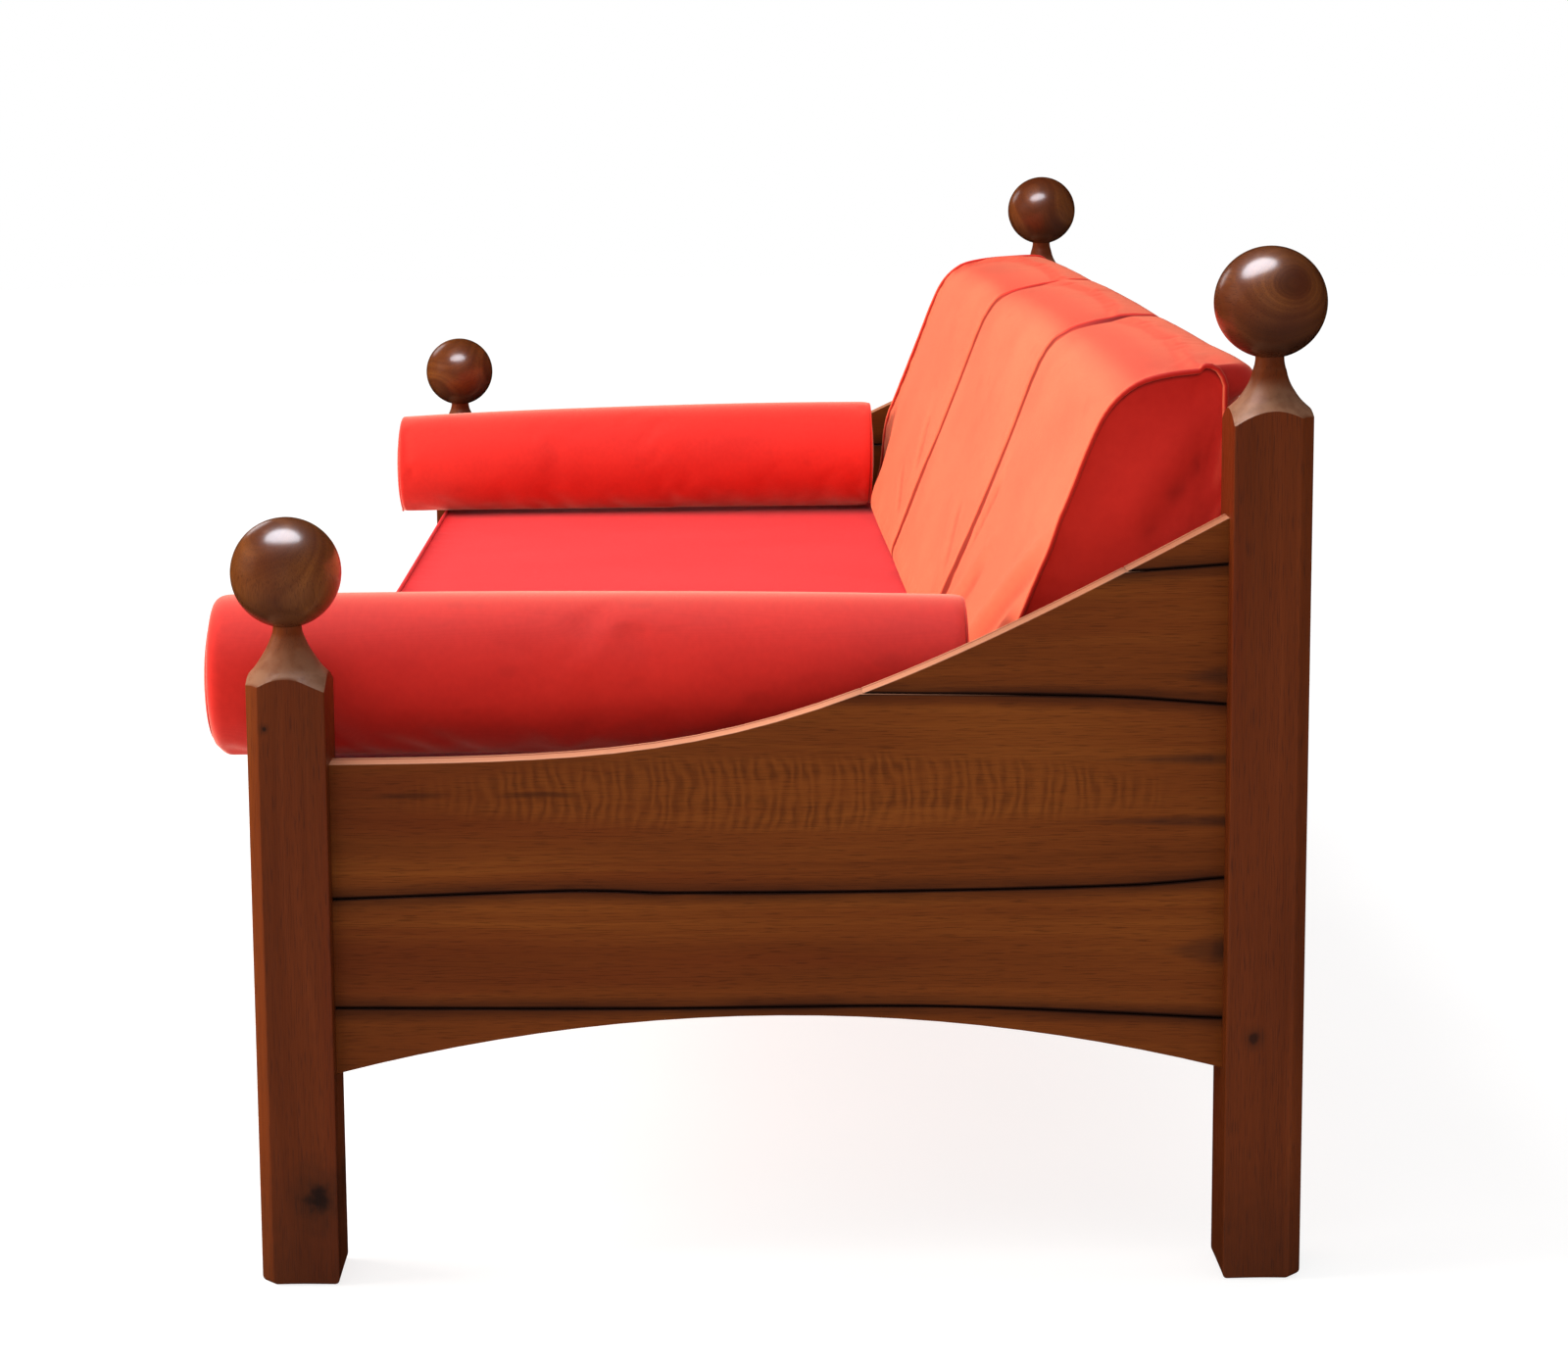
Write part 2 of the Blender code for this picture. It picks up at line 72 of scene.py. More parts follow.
class Graph:
    """The node tree of a material or of the world, with one short call for each kind of node."""

    def __init__(self, owner, shader="Principled BSDF"):
        owner.use_nodes = True
        self.owner, self.tree = owner, owner.node_tree
        self.shader = self.tree.nodes[shader]

    def put(self, socket, value):
        if isinstance(value, bpy.types.NodeSocket):
            self.tree.links.new(value, socket)
        else:
            socket.default_value = value

    def node(self, kind, inputs, out=0, **settings):
        made = self.tree.nodes.new("ShaderNode" + kind)
        for key, value in settings.items():
            setattr(made, key, value)
        for key, value in inputs.items():
            self.put(made.inputs[key], value)
        return made.outputs[out]

    def math(self, operation, *values):
        return self.node("Math", dict(enumerate(values)), operation=operation)

    def scaled(self, value, factor, offset):
        return self.math("MULTIPLY_ADD", value, factor, offset)

    def gap(self, value, place):
        """How far a value is from a place."""
        return self.math("ABSOLUTE", self.math("SUBTRACT", value, place))

    def squares(self, a, b):
        return self.math("ADD", self.math("POWER", a, 2.0), self.math("POWER", b, 2.0))

    def total(self, *values):
        result = values[0]
        for value in values[1:]:
            result = self.math("ADD", result, value)
        return result

    def product(self, *values):
        result = values[0]
        for value in values[1:]:
            result = self.math("MULTIPLY", result, value)
        return result

    def noise(self, vector, scale=1.0, detail=2.0, roughness=0.5, distortion=0.0):
        inputs = {"Vector": vector, "Scale": scale, "Detail": detail, "Roughness": roughness, "Distortion": distortion}
        return self.node("TexNoise", inputs)

    def stretched(self, vector, scales, **settings):
        """Noise on a vector scaled separately along each of its axes."""
        return self.noise(self.node("VectorMath", {0: vector, 1: scales}, operation="MULTIPLY"), **settings)

    def remap(self, value, low, high, to_low=0.0, to_high=1.0):
        inputs = {0: value, 1: low, 2: high, 3: to_low, 4: to_high}
        return self.node("MapRange", inputs, interpolation_type="SMOOTHSTEP")

    def mix(self, factor, a, b):
        return self.node("Mix", {0: factor, 6: a, 7: b}, 2, data_type="RGBA")

    def stain(self, colour, amount, shade):
        """The colour, with some amount of a plain shade over it."""
        return self.mix(amount, colour, (*shade, 1.0))

    def ramp(self, factor, stops):
        made = self.tree.nodes.new("ShaderNodeValToRGB")
        elements = made.color_ramp.elements
        while len(elements) < len(stops):
            elements.new(0.5)
        for element, (place, colour) in zip(elements, stops):
            element.position = place
            element.color = (*colour, 1.0)
        self.put(made.inputs[0], factor)
        return made.outputs[0]

    def attribute(self, name, out=2):
        return self.node("Attribute", {}, out, attribute_name=name)

    def place(self):
        """The point on the piece, in the row frame, at rest."""
        return self.node("TexCoord", {}, 3)

    def parts(self, vector):
        made = self.tree.nodes.new("ShaderNodeSeparateXYZ")
        self.put(made.inputs[0], vector)
        return made.outputs[0], made.outputs[1], made.outputs[2]

    def normal(self):
        """The way the surface faces, as its three parts."""
        return self.parts(self.node("NewGeometry", {}, 1))

    def join(self, x, y, z):
        return self.node("CombineXYZ", {0: x, 1: y, 2: z})

    def bump(self, height, distance, strength):
        inputs = {"Height": height, "Distance": distance, "Strength": strength}
        self.put(self.shader.inputs["Normal"], self.node("Bump", inputs))

    def finish(self, colour, roughness, **plain):
        self.put(self.shader.inputs["Base Color"], colour)
        self.put(self.shader.inputs["Roughness"], roughness)
        for key, value in plain.items():
            self.put(self.shader.inputs[key.replace("_", " ")], value)
        return self.owner


# How far behind a board its pith lies, and what its ruddy patches keep of the middle tone's red, green and blue
PITH_DEPTH = 0.045
RUDDY = (0.80, 0.58, 0.75)


def walnut(name, tones, marks, roughness, **plain):
    """Waxed walnut. The grain attribute holds, for each vertex, how far it is along, across and into the board."""
    dark, mid, light = tones
    g = Graph(bpy.data.materials.new(name))
    grain = g.attribute("grain", 1)
    along, across, into = g.parts(grain)
    warp = g.stretched(grain, (1.3, 7.0, 7.0), detail=2.0)
    bent = g.total(across, g.scaled(warp, 0.06, -0.03))
    ring = g.math("SQRT", g.squares(bent, g.total(into, PITH_DEPTH)))
    lines = g.noise(g.join(g.product(along, 0.7), g.product(ring, 150.0), 0.3), detail=4.0, roughness=0.62)
    bands = g.noise(g.join(g.product(along, 0.9), g.product(ring, 28.0), 7.3), detail=1.0)
    fibre = g.stretched(grain, (14.0, 900.0, 900.0), detail=1.0, roughness=0.6)
    pore = g.remap(g.stretched(grain, (45.0, 1300.0, 1300.0), detail=0.0), 0.60, 0.72)
    cloud = g.stretched(grain, (3.0, 9.0, 9.0), detail=1.0)
    shares = g.product(lines, 0.42), g.product(bands, 0.34), g.product(fibre, 0.12), g.product(cloud, 0.22)
    colour = g.ramp(g.total(*shares, -0.05), ((0.28, dark), (0.50, mid), (0.74, light)))
    flush = g.remap(g.stretched(grain, (1.6, 16.0, 16.0), detail=2.0), 0.45, 0.68, 0.0, 0.55)
    colour = g.stain(colour, flush, [kept * part for kept, part in zip(RUDDY, mid)])
    colour = g.stain(colour, g.product(pore, 0.35), [0.35 * part for part in dark])
    colour = marks(g, colour)
    g.bump(g.math("SUBTRACT", g.product(fibre, 0.5), pore), 0.0003, 0.3)
    return g.finish(colour, g.total(g.product(fibre, 0.10), g.product(pore, 0.15), roughness), **plain)


def under_edge(node, axis):
    """The line under a board, as points along it and their heights."""
    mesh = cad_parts[node].data
    corners = {v for face in mesh.polygons if face.normal.z < -0.7 for v in face.vertices}
    spots = {round(mesh.vertices[v].co[axis], 3): mesh.vertices[v].co.z for v in corners}
    return sorted(spots.items())


def joint_line_and_shadow(g, colour, along, z, lines, half):
    """A dark line along each joint between boards, with a painted soft brown shadow beside it."""
    share = g.scaled(along, 0.5 / half, 0.5)
    ragged = g.noise(g.join(g.product(along, 9.0), g.product(z, 30.0), 0.0), detail=2.0)
    nearest = 1.0
    for line in lines:
        curve = g.tree.nodes.new("ShaderNodeFloatCurve")
        points = curve.mapping.curves[0].points
        while len(points) < len(line):
            points.new(0.5, 0.5)
        for point, (at, height) in zip(points, line):
            point.location = (at * 0.5 / half + 0.5, height)
        curve.mapping.update()
        g.put(curve.inputs["Value"], share)
        nearest = g.math("MINIMUM", nearest, g.gap(z, curve.outputs[0]))
    # Painted shade: a soft brown shadow on either side of each joint.
    shadow = g.product(g.remap(nearest, 0.0, 0.016, 1.0, 0.0), g.scaled(ragged, 0.9, 0.25))
    colour = g.stain(colour, shadow, (0.028, 0.007, 0.0025))
    crack = g.remap(nearest, 0.0009, g.scaled(ragged, 0.0022, 0.0018), 0.92, 0.0)
    return g.stain(colour, crack, (0.007, 0.0022, 0.0014))


# The end panels' ripple: the middle and half size of its lens, and the pitch of its bars
RIPPLE_Y, RIPPLE_Z = 0.03, 0.453
RIPPLE_HALF_Y, RIPPLE_HALF_Z = 0.36, 0.036
RIPPLE_PITCH = 0.0105
# Brown streaks at the front end of the ripple: Y, Z and half length
STREAKS = ((-0.200, 0.4525, 0.052), (-0.317, 0.4530, 0.045))
# Dark wedges that open towards the back post: Z, half width, and where they start and end along Y
WEDGES = ((0.557, 0.010, 0.36), (0.481, 0.006, 0.26), (0.424, 0.006, 0.24), (0.304, 0.016, 0.345))
WEDGE_END = 0.420
# The reddish line along the middle of the sawn top edge, between its painted highlights
SAWN_LINE_X = 0.993
# Knots in the posts: Y, Z, size and how dark
KNOTS = ((-0.407, 0.084, 0.017, 0.93), (0.443, 0.2275, 0.007, 0.7), (-0.4445, 0.520, 0.003, 0.8))


def end_marks(side):
    """Fiddleback ripple on the middle board, dark wedges at the back, a painted highlight on the top edge, and dark
    joints with painted shadow.
    """

    def marks(g, colour):
        place = g.place()
        x, y, z = g.parts(place)
        wobble = g.stretched(place, (3.0, 14.0, 14.0), detail=2.0)
        patch = g.remap(g.stretched(place, (3.0, 11.0, 60.0), detail=1.0), 0.38, 0.62)
        fine = g.stretched(place, (3.0, 45.0, 22.0), detail=2.0)
        above = g.total(z, -RIPPLE_Z)
        reach = g.squares(
            g.math("DIVIDE", g.total(y, -RIPPLE_Y), RIPPLE_HALF_Y), g.math("DIVIDE", above, RIPPLE_HALF_Z)
        )
        lens = g.remap(g.total(reach, g.product(wobble, 0.9)), 0.8, 1.7, 1.0, 0.0)
        bend = g.product(g.math("POWER", above, 2.0), 5.0)
        phase = g.product(g.total(y, bend, g.product(fine, 0.026)), TURN / RIPPLE_PITCH)
        bars = g.scaled(g.math("SINE", phase), 0.5, 0.5)
        colour = g.stain(colour, g.product(bars, lens, patch, 0.36), (0.055, 0.014, 0.0030))
        between = g.product(lens, g.math("SUBTRACT", 1.0, bars), 0.22)
        colour = g.stain(colour, between, (0.230, 0.062, 0.0085))
        for at_y, at_z, length in STREAKS:
            run = g.remap(g.gap(y, at_y), 0.2 * length, length, 1.0, 0.0)
            off = g.math("ABSOLUTE", g.total(z, g.product(wobble, 0.006), -at_z - 0.003))
            streak = g.product(run, g.remap(off, 0.0005, 0.0042, 1.0, 0.0))
            colour = g.stain(colour, g.product(streak, 0.65), (0.040, 0.010, 0.003))
        for height, width, start in WEDGES:
            run = g.remap(y, start, WEDGE_END)
            off = g.math("DIVIDE", g.gap(z, height), g.scaled(run, width, 0.0005))
            amount = g.product(run, g.remap(off, 0.1, 1.3, 1.0, 0.0), g.scaled(fine, 0.9, 0.25))
            colour = g.stain(colour, amount, (0.030, 0.010, 0.005))
        lines = [under_edge(f"end_board_{side}_{i}", 1) for i in range(2, 6)]
        colour = joint_line_and_shadow(g, colour, y, z, lines, 0.5)
        # Painted highlight: the sawn top edge is painted pale where it faces up, less so higher up, with a reddish
        # line along its middle.
        crest = g.product(g.remap(g.normal()[2], 0.45, 0.85), g.attribute("crest"))
        off = g.gap(g.math("ABSOLUTE", x), SAWN_LINE_X)
        painted_highlight = g.mix(g.remap(off, 0.0008, 0.0030), (0.300, 0.075, 0.040, 1.0), (0.640, 0.290, 0.170, 1.0))
        return g.mix(g.product(crest, g.remap(z, 0.49, 0.62, 0.85, 0.42)), colour, painted_highlight)

    return marks


def long_marks(*joints):
    """Dark joints with painted shadow on a panel that runs along X, and painted shade where it meets the posts."""

    def marks(g, colour):
        x, _, z = g.parts(g.place())
        colour = joint_line_and_shadow(g, colour, x, z, [under_edge(node, 0) for node in joints], 1.0)
        # Painted shade: the panel darkens towards the posts at both ends.
        return g.stain(colour, g.remap(g.math("ABSOLUTE", x), 0.925, 0.955, 0.0, 0.8), (0.018, 0.006, 0.003))

    return marks


def post_marks(g, colour):
    """Knots, darker towards the floor, and a painted sheen: pale slopes under the ball where they face up."""
    place = g.place()
    _, y, z = g.parts(place)
    wobble = g.noise(place, 90.0, 3.0)
    for at_y, at_z, size, depth in KNOTS:
        across = g.math("DIVIDE", g.total(y, -at_y), size)
        along = g.math("DIVIDE", g.total(z, -at_z), size * 1.2)
        edge = g.total(g.math("SQRT", g.squares(across, along)), g.scaled(wobble, 1.1, -0.55))
        halo, core = g.remap(edge, 0.5, 2.2, 1.0, 0.0), g.remap(edge, 0.2, 0.9, 1.0, 0.0)
        colour = g.stain(colour, g.product(halo, 0.55 * depth), (0.030, 0.010, 0.004))
        colour = g.stain(colour, g.product(core, depth), (0.010, 0.005, 0.004))
    uneven = g.product(g.scaled(wobble, 0.3, -0.15), 0.2)
    foot = g.remap(g.total(z, uneven), 0.0, 0.16, 0.45, 0.0)
    colour = g.stain(colour, foot, (0.022, 0.007, 0.003))
    # Painted sheen: the slopes that face up are painted pale.
    painted_sheen = g.product(g.remap(g.normal()[2], 0.22, 0.80), g.remap(wobble, 0.30, 0.60, 0.65, 1.0))
    return g.stain(colour, g.product(painted_sheen, 0.68), (0.300, 0.155, 0.090))


def ball_marks(g, colour):
    """Painted shade: the ball darkens where it faces down, towards the neck."""
    return g.stain(colour, g.remap(g.normal()[2], 0.0, -0.85, 0.0, 0.55), (0.020, 0.006, 0.003))


def plain_wood(name, dark, light, grain_scale):
    """Sawn softwood or beech for the parts under the cushions. The grain runs along the axis with the small scale."""
    g = Graph(bpy.data.materials.new(name))
    place = g.place()
    lines = g.stretched(place, grain_scale, detail=4.0, roughness=0.6, distortion=0.4)
    fibre = g.stretched(place, tuple(9 * s for s in grain_scale), detail=2.0)
    tone = g.total(g.product(lines, 0.8), g.product(fibre, 0.25), -0.03)
    colour = g.ramp(tone, ((0.30, dark), (0.70, light)))
    g.bump(fibre, 0.0003, 0.4)
    return g.finish(colour, g.scaled(lines, 0.2, 0.5), Specular_IOR_Level=0.3)


def zinc(name):
    """Bright zinc plating with faint spangle and scratches."""
    g = Graph(bpy.data.materials.new(name))
    place = g.place()
    cloud = g.noise(place, 160.0, 4.0, 0.6)
    brushed = g.stretched(place, (60.0, 60.0, 1500.0), detail=2.0)
    colour = g.ramp(cloud, ((0.30, (0.42, 0.43, 0.45)), (0.70, (0.62, 0.63, 0.64))))
    g.bump(brushed, 0.0001, 0.3)
    return g.finish(colour, g.scaled(cloud, 0.25, 0.22), Metallic=1.0)


WEAVE_PITCH = 0.0009


def fabric(name, deep, bright, sheen, tint, window_lit=None):
    """Plain-woven cloth: a lattice of threads in the cloth's colour, faint cloudy marks, and a soft sheen.

    The painted window light: lighter, more orange colours show on the side that faces the window, at -Y.
    """
    g = Graph(bpy.data.materials.new(name))
    place = g.place()
    x, y, z = [g.math("SINE", g.product(axis, TURN / WEAVE_PITCH)) for axis in g.parts(place)]
    weave = g.total(g.product(x, y), g.product(y, z), g.product(z, x))
    slub = g.stretched(place, (40.0, 160.0, 160.0), detail=1.0)
    cloud = g.stretched(place, (7.0, 5.0, 9.0), detail=3.0, roughness=0.55)
    tone = g.total(g.product(cloud, 0.75), g.product(slub, 0.20), g.product(weave, 0.04), 0.03)
    colour = g.ramp(tone, ((0.30, deep), (0.70, bright)))
    if window_lit:
        window_colour = g.ramp(tone, ((0.30, window_lit[0]), (0.70, window_lit[1])))
        # Painted light: the side facing the window takes the lit colours.
        colour = g.mix(g.remap(g.normal()[1], -0.15, -0.80), colour, window_colour)
    smudge = g.product(g.remap(g.stretched(place, (26.0, 18.0, 30.0), detail=2.0), 0.63, 0.74), 0.10)
    # Painted shade along seams and in the furrows of folds; light from above washes it out where the cover faces up.
    washed = g.remap(g.normal()[2], 0.55, 0.92, 1.0, 0.45)
    seam = g.product(g.remap(g.attribute("seam"), 0.15, 0.75, 0.0, 0.80), washed)
    colour = g.stain(colour, g.math("MAXIMUM", seam, smudge), [0.28 * part for part in deep])
    g.bump(g.total(g.product(weave, 0.25), slub), 0.0003, 0.25)
    return g.finish(
        colour,
        g.scaled(cloud, 0.12, 0.66),
        Sheen_Weight=sheen,
        Sheen_Roughness=0.38,
        Sheen_Tint=(*tint, 1.0),
        Specular_IOR_Level=0.12,
    )


# Dark, middle and light
BOARD_TONES = (0.060, 0.0130, 0.0022), (0.121, 0.0275, 0.0042), (0.195, 0.0540, 0.0075)
POST_TONES = (0.064, 0.0115, 0.0020), (0.114, 0.0212, 0.0034), (0.172, 0.0375, 0.0056)
BALL_TONES = (0.026, 0.0060, 0.0018), (0.088, 0.0210, 0.0038), (0.215, 0.0640, 0.0100)
PINE_TONES = (0.42, 0.24, 0.10), (0.62, 0.42, 0.22)

board_marks = {f"end_{side}": end_marks(side) for side in SIDES}
board_marks["rail"] = long_marks("front_rail_2")
board_marks["back"] = long_marks("back_board_2", "back_board_3", "back_board_4")
board_wood = {
    place: walnut("walnut_" + place, BOARD_TONES, marks, 0.38, Specular_IOR_Level=0.05)
    for place, marks in board_marks.items()
}
post_wood = walnut("walnut_posts", POST_TONES, post_marks, 0.30, Specular_IOR_Level=0.12)
ball_wood = walnut(
    "walnut_balls", BALL_TONES, ball_marks, 0.38, Specular_IOR_Level=0.10, Coat_Weight=1.0, Coat_Roughness=0.23
)
seat_cloth = fabric("red_seat", (0.50, 0.010, 0.012), (0.62, 0.015, 0.017), 0.18, (1.0, 0.34, 0.36))
bolster_cloth = fabric("red_bolster", (0.47, 0.012, 0.008), (0.62, 0.021, 0.013), 0.75, (1.0, 0.58, 0.45))
back_cloth = fabric(
    "red_back",
    (0.44, 0.010, 0.006),
    (0.54, 0.018, 0.010),
    0.36,
    (1.0, 0.48, 0.27),
    window_lit=((0.60, 0.088, 0.041), (0.70, 0.122, 0.057)),
)
pine = plain_wood("pine", *PINE_TONES, (45.0, 2.0, 45.0))
pine_long = plain_wood("pine_long", *PINE_TONES, (2.0, 45.0, 45.0))
beech = plain_wood("beech", (0.48, 0.27, 0.13), (0.60, 0.38, 0.20), (120.0, 120.0, 8.0))
steel = zinc("zinc_steel")
# The parts that keep the CAD's shape, by the start of their names
HIDDEN_PARTS = {
    ("slat_",): pine,
    ("ledger_",): pine_long,
    ("finial_dowel_",): beech,
    ("bracket_", "board_screw_", "post_screw_"): steel,
}


# ------------ meshes


def piece(name, points, faces, material, body, slot, *nodes):
    """A smooth mesh piece that rides on a body and stands for the named CAD nodes."""
    mesh = bpy.data.meshes.new(name)
    mesh.from_pydata([tuple(p) for p in points], [], faces)
    mesh.update()
    return adopt(mesh, name, material, body, slot, *nodes)


def adopt(mesh, name, material, body, slot, *nodes):
    obj = add_object(name, mesh)
    mesh.materials.clear()
    mesh.materials.append(material)
    mesh.polygons.foreach_set("use_smooth", np.ones(len(mesh.polygons), bool))
    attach(obj, body)
    if nodes:
        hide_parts(*nodes)
    return obj


def coordinates(mesh):
    found = np.zeros(len(mesh.vertices) * 3, np.float32)
    mesh.vertices.foreach_get("co", found)
    return found.reshape(-1, 3).astype(float)


def mark(mesh, name, values):
    """Keeps a number or a vector for each vertex, for the material to read."""
    kind, field = ("FLOAT_VECTOR", "vector") if values.ndim > 1 else ("FLOAT", "value")
    mesh.attributes.new(name, kind, "POINT").data.foreach_set(field, values.astype(np.float32).ravel())


def skin(loops):
    """Points and quads over a stack of closed loops of equally many points, with both ends closed to a point."""
    count = len(loops[0])
    points = np.concatenate([*loops, [np.mean(loops[0], 0)], [np.mean(loops[-1], 0)]])
    faces = []
    for i in range(len(loops) - 1):
        a, b = i * count, (i + 1) * count
        for j in range(count):
            k = (j + 1) % count
            faces.append((a + j, a + k, b + k, b + j))
    first, last = len(loops) * count, len(loops) * count + 1
    top = (len(loops) - 1) * count
    for j in range(count):
        k = (j + 1) % count
        faces.append((first, k, j))
        faces.append((last, top + j, top + k))
    return points, faces


def circle(count):
    """Evenly spaced angles all the way round."""
    return np.arange(count) * TURN / count


def catmull(knots, steps):
    """A smooth line through the knots, steps points to each gap."""
    knots = np.asarray(knots, float)
    padded = np.concatenate([[2 * knots[0] - knots[1]], knots, [2 * knots[-1] - knots[-2]]])
    out = []
    for i in range(1, len(padded) - 2):
        a, b, c, d = padded[i - 1 : i + 3]
        for t in np.arange(steps) / steps:
            point = 2 * b + (c - a) * t + (2 * a - 5 * b + 4 * c - d) * t**2 + (3 * b - a - 3 * c + d) * t**3
            out.append(0.5 * point)
    return np.array([*out, knots[-1]])


def resample(line, count):
    """Points spread evenly along a line."""
    run = np.concatenate([[0], np.cumsum(np.linalg.norm(np.diff(line, axis=0), axis=1))])
    at = np.linspace(0, run[-1], count)
    return np.stack([np.interp(at, run, line[:, i]) for i in range(line.shape[1])], 1)


def rounded(corners, radius, step):
    """Points round a polygon with rounded corners, with its straight runs cut into steps."""
    corners = [np.asarray(c, float) for c in corners]
    out = []
    for i, corner in enumerate(corners):
        before, after = corners[i - 1], corners[(i + 1) % len(corners)]
        back = (before - corner) / np.linalg.norm(before - corner)
        on = (after - corner) / np.linalg.norm(after - corner)
        half = math.acos(max(-1.0, min(1.0, float(back @ on)))) / 2
        length = radius / math.tan(half)
        start, end = corner + back * length, corner + on * length
        for t in np.linspace(0, 1, 5):
            out.append((1 - t) ** 2 * start + 2 * t * (1 - t) * corner + t**2 * end)
    filled = []
    for a, b in zip(out, out[1:] + out[:1]):
        cuts = max(1, int(round(np.linalg.norm(b - a) / step)))
        filled.extend(a + (b - a) * s for s in np.arange(cuts) / cuts)
    return np.array(filled)


# ------------ posts and balls

POST_HALF, POST_CHAMFER, POST_EDGE_R, FOOT_R = 0.036, 0.012, 0.0016, 0.006
NECK_R, NECK_DROP = 0.013, 0.0478
# The turned top: radius and drop below the ball's centre. Out of this radius, it cuts into the post's faces.
FLARE_R = 0.034
TURNED_TOP = {
    "front": (
        (0.0129, 0.0470), (0.0130, 0.0500), (0.0136, 0.0540), (0.0152, 0.0587), (0.0192, 0.0677), (0.0244, 0.0766),
        (0.0306, 0.0856), (0.0352, 0.0905), (0.0390, 0.0940), (0.0430, 0.0980), (0.0530, 0.1050),
    ),
    "back": (
        (0.0127, 0.0470), (0.0128, 0.0510), (0.0136, 0.0560), (0.0150, 0.0607), (0.0166, 0.0669), (0.0191, 0.0730),
        (0.0228, 0.0792), (0.0272, 0.0854), (0.0322, 0.0905), (0.0352, 0.0930), (0.0414, 0.0984), (0.0530, 0.1090),
    ),
}


def ball_shape(end, side):
    """Centre and radius of a post's ball."""
    low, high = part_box(f"ball_{end}_{side}")
    radius = (high.x - low.x) / 2
    return np.array([(low.x + high.x) / 2, (low.y + high.y) / 2, high.z - radius]), radius


def make_post(end, side):
    name = f"post_{end}_{side}"
    low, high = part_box(name)
    ball, _ = ball_shape(end, side)
    sx, sy = SIDES[side], ENDS[end]
    # The four corners in order, with the outermost cut off.
    half, cut = POST_HALF, POST_HALF - POST_CHAMFER
    corners = [(half, -half), (half, cut), (cut, half), (-half, half), (-half, -half)]
    ring = [(sx * x, sy * y) for x, y in corners]
    if sx * sy < 0:
        ring = ring[::-1]
    outline = rounded(ring, POST_EDGE_R, 0.0026)
    radii = np.linalg.norm(outline, axis=1)
    rays = outline / radii[:, None]
    profile = catmull([(drop, radius) for radius, drop in TURNED_TOP[end]], 8)
    flare = profile[profile[:, 1] > FLARE_R]
    drops = np.interp(radii, flare[:, 1], flare[:, 0])
    rows = []

    def row(scale_to, heights):
        """One loop: each column's distance from the axis and its height."""
        xy = rays * np.asarray(scale_to)[:, None] + ball[:2]
        rows.append(np.column_stack([xy, np.broadcast_to(heights, radii.shape)]))

    foot = low.z
    for share in (0.35, 0.7):
        row(radii * share, foot)
    for angle in np.linspace(0, math.pi / 2, 6):
        row(radii - FOOT_R * (1 - math.sin(angle)), foot + FOOT_R * (1 - math.cos(angle)))
    shoulder = ball[2] - drops
    for z in np.linspace(foot + 0.02, float(shoulder.min()) - 0.012, 12):
        row(radii, z)
    # Two close rows keep the line crisp where the turning starts.
    row(radii, shoulder - 0.0008)
    row(radii - 0.0001, shoulder - 0.0001)
    for share in np.arange(1, 27) / 26:
        at = drops - 0.0005 - (drops - 0.0005 - NECK_DROP) * share
        row(np.interp(at, profile[:, 0], profile[:, 1]), ball[2] - at)
    points, faces = skin(rows)
    obj = piece(name + "_wood", points, faces, post_wood, "frame", "walnut_posts", name)
    # Each post is cut from another part of the tree.
    seed = 3.1 * (sx + 2) + 7.7 * (sy + 2)
    across, into = points[:, 1] - (low.y + high.y) / 2 + 0.02 * sx, points[:, 0] - (low.x + high.x) / 2
    mark(obj.data, "grain", np.column_stack([points[:, 2] + seed, across, into]))
    obj.data.set_sharp_from_angle(angle=math.radians(38))


def make_ball(end, side, axis, spin):
    """A turned ball. Its grain runs along the given axis, so each ball shows its own figure."""
    centre, radius = ball_shape(end, side)
    turns = circle(96)
    rows = []
    for lift in np.linspace(-math.acos(NECK_R / radius), math.pi / 2 - 0.03, 56):
        r, z = radius * math.cos(lift), radius * math.sin(lift)
        rows.append(np.column_stack([r * np.cos(turns), r * np.sin(turns), np.full(len(turns), z)]) + centre)
    points, faces = skin(rows)
    points[-1, 2] = centre[2] + radius
    name = f"ball_{end}_{side}"
    obj = piece(name + "_wood", points, faces, ball_wood, "frame", "walnut_balls", name)
    turn = Vector(axis).normalized().rotation_difference(Vector((1, 0, 0))).to_matrix() @ Matrix.Rotation(spin, 3, "X")
    local = (points - centre) @ np.array(turn).T
    mark(obj.data, "grain", local + np.array([spin * 3, 0.012, -0.030]))


# The way each ball's grain runs, and its spin round it
BALL_GRAIN = {
    ("front", "right"): ((0.35, -0.5, 0.75), 0.6),
    ("back", "right"): ((0.9, -0.25, 0.3), 2.2),
    ("front", "left"): ((0.2, 0.3, 0.93), 4.0),
    ("back", "left"): ((0.3, 0.6, 0.7), 5.1),
}
for end in ENDS:
    for side in SIDES:
        make_post(end, side)
        make_ball(end, side, *BALL_GRAIN[end, side])


# ------------ boards

BOARD_EDGE = 0.0013


